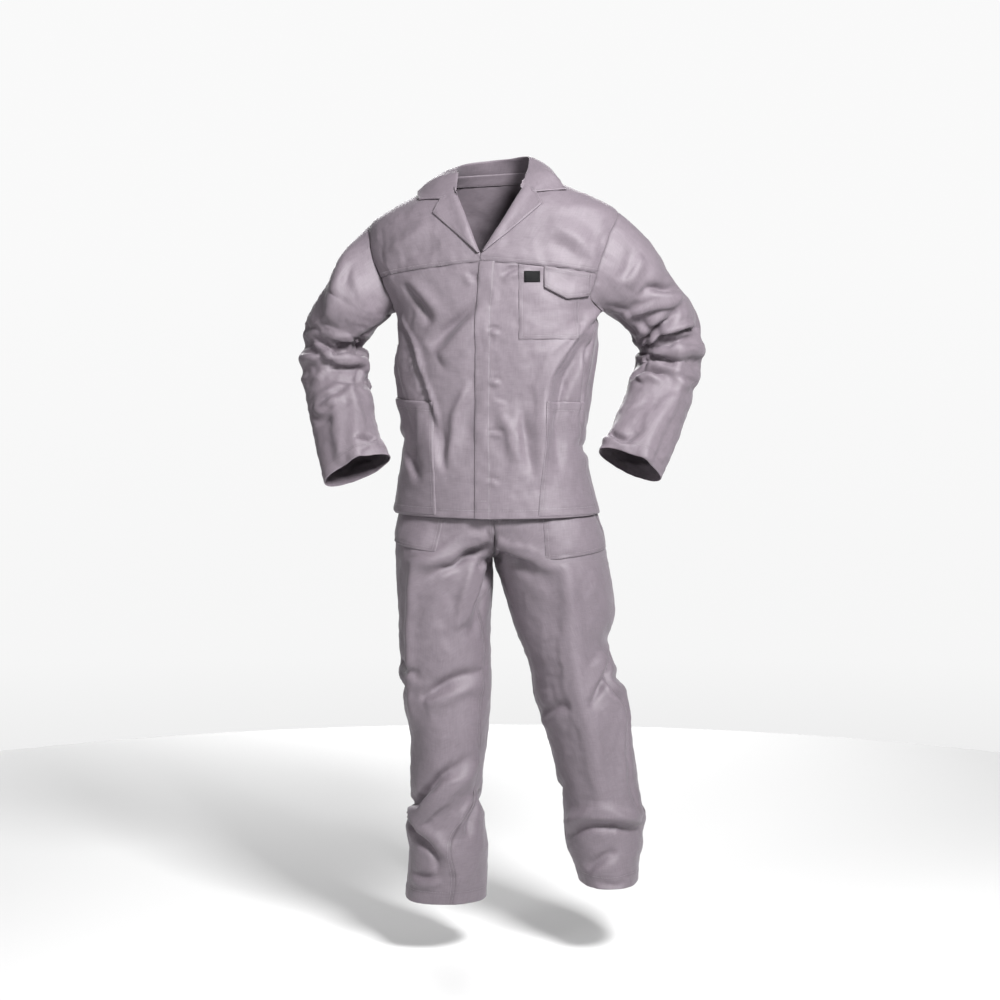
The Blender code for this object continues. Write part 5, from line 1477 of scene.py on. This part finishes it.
# the gorge seams: between the roll and the notch the collar's ends are sewn down to the lapels, sunk a
# little with painted shade along the seam
sewn = (smooth(0.26, 0.34, cross) * (1 - smooth(0.72, 0.8, cross)))[None, :]
for away in (collar.bottom, collar.top):
    collar.push(-0.0018 * sewn * bell(away, 0.008), painted_light=-0.5 * sewn * bell(away, 0.0016))
for edge, seed, start in (("last", 233, 0.0), ("bottom", 235, 0.55), ("top", 237, 0.55)):
    topstitched(collar, jacket_thread, edge, (0.005,), seed, start=start)
collar.rolled("last", "bottom", "top")
collar.build(thick=0.0018, replaces="collar")

# a tape inside the back of the neck covers the seam of the collar
rows = []
for at in np.linspace(0.6, 7.4, 70):
    turn = float(columns(COLLAR_ROWS, at)[0])
    seam, stand = collar_line(at)[:2]
    inward = on_jacket(turn, NECK, -0.0032) - on_jacket(turn, NECK)
    low = on_jacket(turn, NECK - 0.013, -0.0034)
    rows.append([low, lerp(low, seam + inward, 0.5), seam + inward,
                 lerp(seam, stand, 0.35) + inward * 0.7])
points = eased_arrays([0, 0.4, 0.75, 1.0], np.swapaxes(rows, 0, 1), np.linspace(0, 1, 12))
points = points.swapaxes(0, 1)
tape = Cloth("neck_tape", points, facing(points, len(points) // 2, 5, (0, -1, 0)))
tape.rolled("first", depth=0.0006, reach=0.002)
topstitched(tape, jacket_thread, "first", (0.0022,), 239)
tape.build(thick=0.0009)
jacket_thread.build()

# ---------------- trousers
LEG_HEM = 0.026
# the right leg has turned on the wearer, so that its inseam wanders round to the front
INSEAMS = {-1: [Mark(0.095, -0.08), Mark(0.16, -0.071), Mark(0.231, -0.079),
                Mark(0.307, -0.043), Mark(0.391, -0.023), Mark(0.474, -0.023),
                Mark(0.573, -0.014), Mark(0.632, -0.014), Mark(0.69, -0.02)], 1: []}


def inseam_share(side, heights):
    """Where the inseam runs, as a share round the leg."""
    if not INSEAMS[side]:
        return np.zeros(len(heights))
    found = share_at(side, mark(INSEAMS[side], heights), heights)
    return found * (1 - smooth(0.69, CROTCH - 0.012, heights))


for (side, word), seed in zip(SIDES, (241, 261)):
    heights = lerp(HEMS[side], WAISTBAND_BOTTOM, spread(LEG_LENGTH))
    inseam_at = inseam_share(side, heights)
    for part, first, last, inseam, outseam in (
            ("front", inseam_at, 0.5, "first", "last"),
            ("back", 0.5, 1.0 + inseam_at, "last", "first")):
        cloth = Cloth(word + "_leg_" + part, *cloth_grid(
            functools.partial(leg_cloth, side), between(first, last, LEG_WIDTH),
            heights[:, None]))
        cloth.hem("bottom", LEG_HEM, seed, size=0.0011)
        cloth.rolled("bottom")
        cloth.seam(inseam, depth=0.0, seed=seed + 1, size=0.0013)
        cloth.seam(outseam, seed=seed + 2, size=0.0013)
        trouser_thread.along(cloth, "bottom", LEG_HEM)
        if part == "front":
            topstitched(cloth, trouser_thread, inseam, DOUBLE_ROW, seed + 3, size=0.001)
        for edge in ("first", "last"):
            cloth.tuck(edge, reach=0.004)
        cloth.build(replaces=word + "_leg_" + part)
        seed += 5


def leg_patch(name, side, inner, outer, width, tall):
    """A patch on a leg's front between two edges, in rows from the bottom up.

    Each row holds a share of the way up, an x (inner edge) or a share round the leg (outer
    edge), and a height.
    """
    (inner_x, inner_height), (outer_share, outer_height) = (
        straight(rows, spread(tall)) for rows in (inner, outer))
    shares = between(share_at(side, inner_x, inner_height), outer_share, width)
    heights = between(inner_height, outer_height, width)
    points, normals = cloth_grid(functools.partial(leg_cloth, side), shares, heights)
    return Cloth(name, points + normals * PATCH_LIFT, normals)


SIDE = 0.497               # share of a leg just short of its side seam
for side, word, inner, outer, seed in (
        (-1, "right", [(0, -0.107, 0.807), (1, -0.072, 0.96)],
         [(0, SIDE, 0.822), (1, SIDE, 0.96)], 281),
        (1, "left", [(0, 0.103, 0.794), (1, 0.092, 0.96)],
         [(0, SIDE, 0.81), (1, SIDE, 0.96)], 291)):
    pocket = leg_patch(word + "_hip_pocket", side, inner, outer, 0.12, 0.155)
    pocket.push(0.0014 * bell(pocket.bottom, 0.05) * smooth(0.0, 0.03, pocket.first)
                * smooth(0.0, 0.03, pocket.last))
    for edge in ("first", "bottom"):
        topstitched(pocket, trouser_thread, edge, DOUBLE_ROW, seed)
        seed += 1
    pocket.rolled("first", "bottom", "top")
    pocket.seam("last", seed=seed)
    pocket.build(replaces=word + "_hip_pocket")

fly = leg_patch("fly", 1, [(0, 0.0135, 0.864), (0.5, 0.01, 0.9), (1, 0.009, 1.03)],
                [(0, 0.06, 0.864), (0.5, 0.12, 0.9), (1, 0.14, 1.03)], 0.035, 0.165)
fly.rolled("first")
topstitched(fly, trouser_thread, "last", (0.003, 0.009), 301)
fly.rolled("last")
fly.build(replaces="fly")

turns = FLY_TURN + 360 * np.arange(200) / 200
turn_grid, height_grid = np.meshgrid(
    turns, lerp(WAISTBAND_BOTTOM, WAISTBAND_TOP, spread(WAISTBAND_WIDTH)))
points = ring_point(TROUSER_RINGS, turn_grid.ravel(), height_grid.ravel())
points = points.reshape(turn_grid.shape + (3,))
normals = unit(points - np.mean(points, axis=1, keepdims=True)) * (1, 1, 0)
waistband = Cloth("waistband", points, unit(normals), closed=True)
for edge in ("bottom", "top"):
    topstitched(waistband, trouser_thread, edge, (0.002,), 311)
    waistband.rolled(edge)
waistband.build(thick=0.0022, replaces="waistband")
trouser_thread.build()

# ---------------- room, light and camera
FLOOR_RADIUS = 2.6


def round_floor():
    mesh = bpy.data.meshes.new("floor")
    shape = bmesh.new()
    bmesh.ops.create_circle(shape, cap_ends=True, segments=96, radius=FLOOR_RADIUS)
    shape.to_mesh(mesh)
    shape.free()
    floor = bpy.data.objects.new("floor", mesh)
    floor.location = (0, 0, -HOLD_HEIGHT)
    bpy.context.scene.collection.objects.link(floor)
    material, tree = new_material("floor_white")
    feed(tree, tree.nodes["Principled BSDF"], {"Base Color": shade(0.72), "Roughness": 0.9})
    mesh.materials.append(material)


def point_at(item, place, aim):
    item.location = place
    item.rotation_euler = (Vector(aim) - Vector(place)).to_track_quat("-Z", "Y").to_euler()


def area_light(name, place, aim, size, power):
    lamp = bpy.data.lights.new(name, "AREA")
    lamp.shape, lamp.energy = "RECTANGLE", power
    lamp.size, lamp.size_y = size
    made = bpy.data.objects.new(name, lamp)
    point_at(made, place, aim)
    bpy.context.scene.collection.objects.link(made)


round_floor()
scene = bpy.context.scene
scene.view_settings.view_transform = "Standard"
scene.world = bpy.data.worlds.new("studio")
scene.world.use_nodes = True
sky = scene.world.node_tree


def sky_range(source, low, high, dark, light):
    return new_node(sky, "MapRange", {"Value": source, "From Min": low, "From Max": high,
                                      "To Min": dark, "To Max": light}).outputs["Result"]


# a lit white wall behind, dimmer walls at the sides and in front, and a dim ceiling
way = new_node(sky, "TexCoord").outputs["Generated"]
split = new_node(sky, "SeparateXYZ", {"Vector": way}).outputs
walls = new_node(sky, "ValToRGB", {"Fac": sky_range(split["Z"], -1, 1, 0, 1)})
bands = walls.color_ramp.elements
bands[0].position, bands[0].color = 0.24, shade(0.15)
for place, level in ((0.3, 0.6), (0.38, 0.8), (0.43, 0.97), (0.52, 1.0), (0.58, 1.0), (0.72, 0.15)):
    bands.new(place).color = shade(level)
bands.remove(bands[-1])
dimmer = new_node(sky, "Math", {0: sky_range(split["Y"], 0.6, 0.96, 0.24, 1.0),
                                1: sky_range(split["X"], -0.9, -0.26, 0.4, 1.0)},
                  operation="MULTIPLY")
lit = new_node(sky, "VectorMath", {0: walls.outputs["Color"], "Scale": dimmer.outputs[0]},
               operation="SCALE")
feed(sky, sky.nodes["Background"], {"Color": lit.outputs[0], "Strength": 0.95})
area_light("key", (1.1, -2.2, 1.2), (0, 0, -0.1), (0.7, 0.7), 195)
area_light("fill", (-2.0, -1.9, 0.3), (0.05, 0, -0.7), (0.7, 0.7), 20)
area_light("back", (-0.4, 3.9, 0.9), (0, 0, -0.5), (2.6, 2.2), 165)

eye = bpy.data.cameras.new("camera")
eye.lens, eye.sensor_width = 78.588, 36.0
camera = bpy.data.objects.new("camera", eye)
point_at(camera, (0.0158, -4.3, -0.3), (0.0158, 0, -0.6))
scene.collection.objects.link(camera)
scene.camera = camera
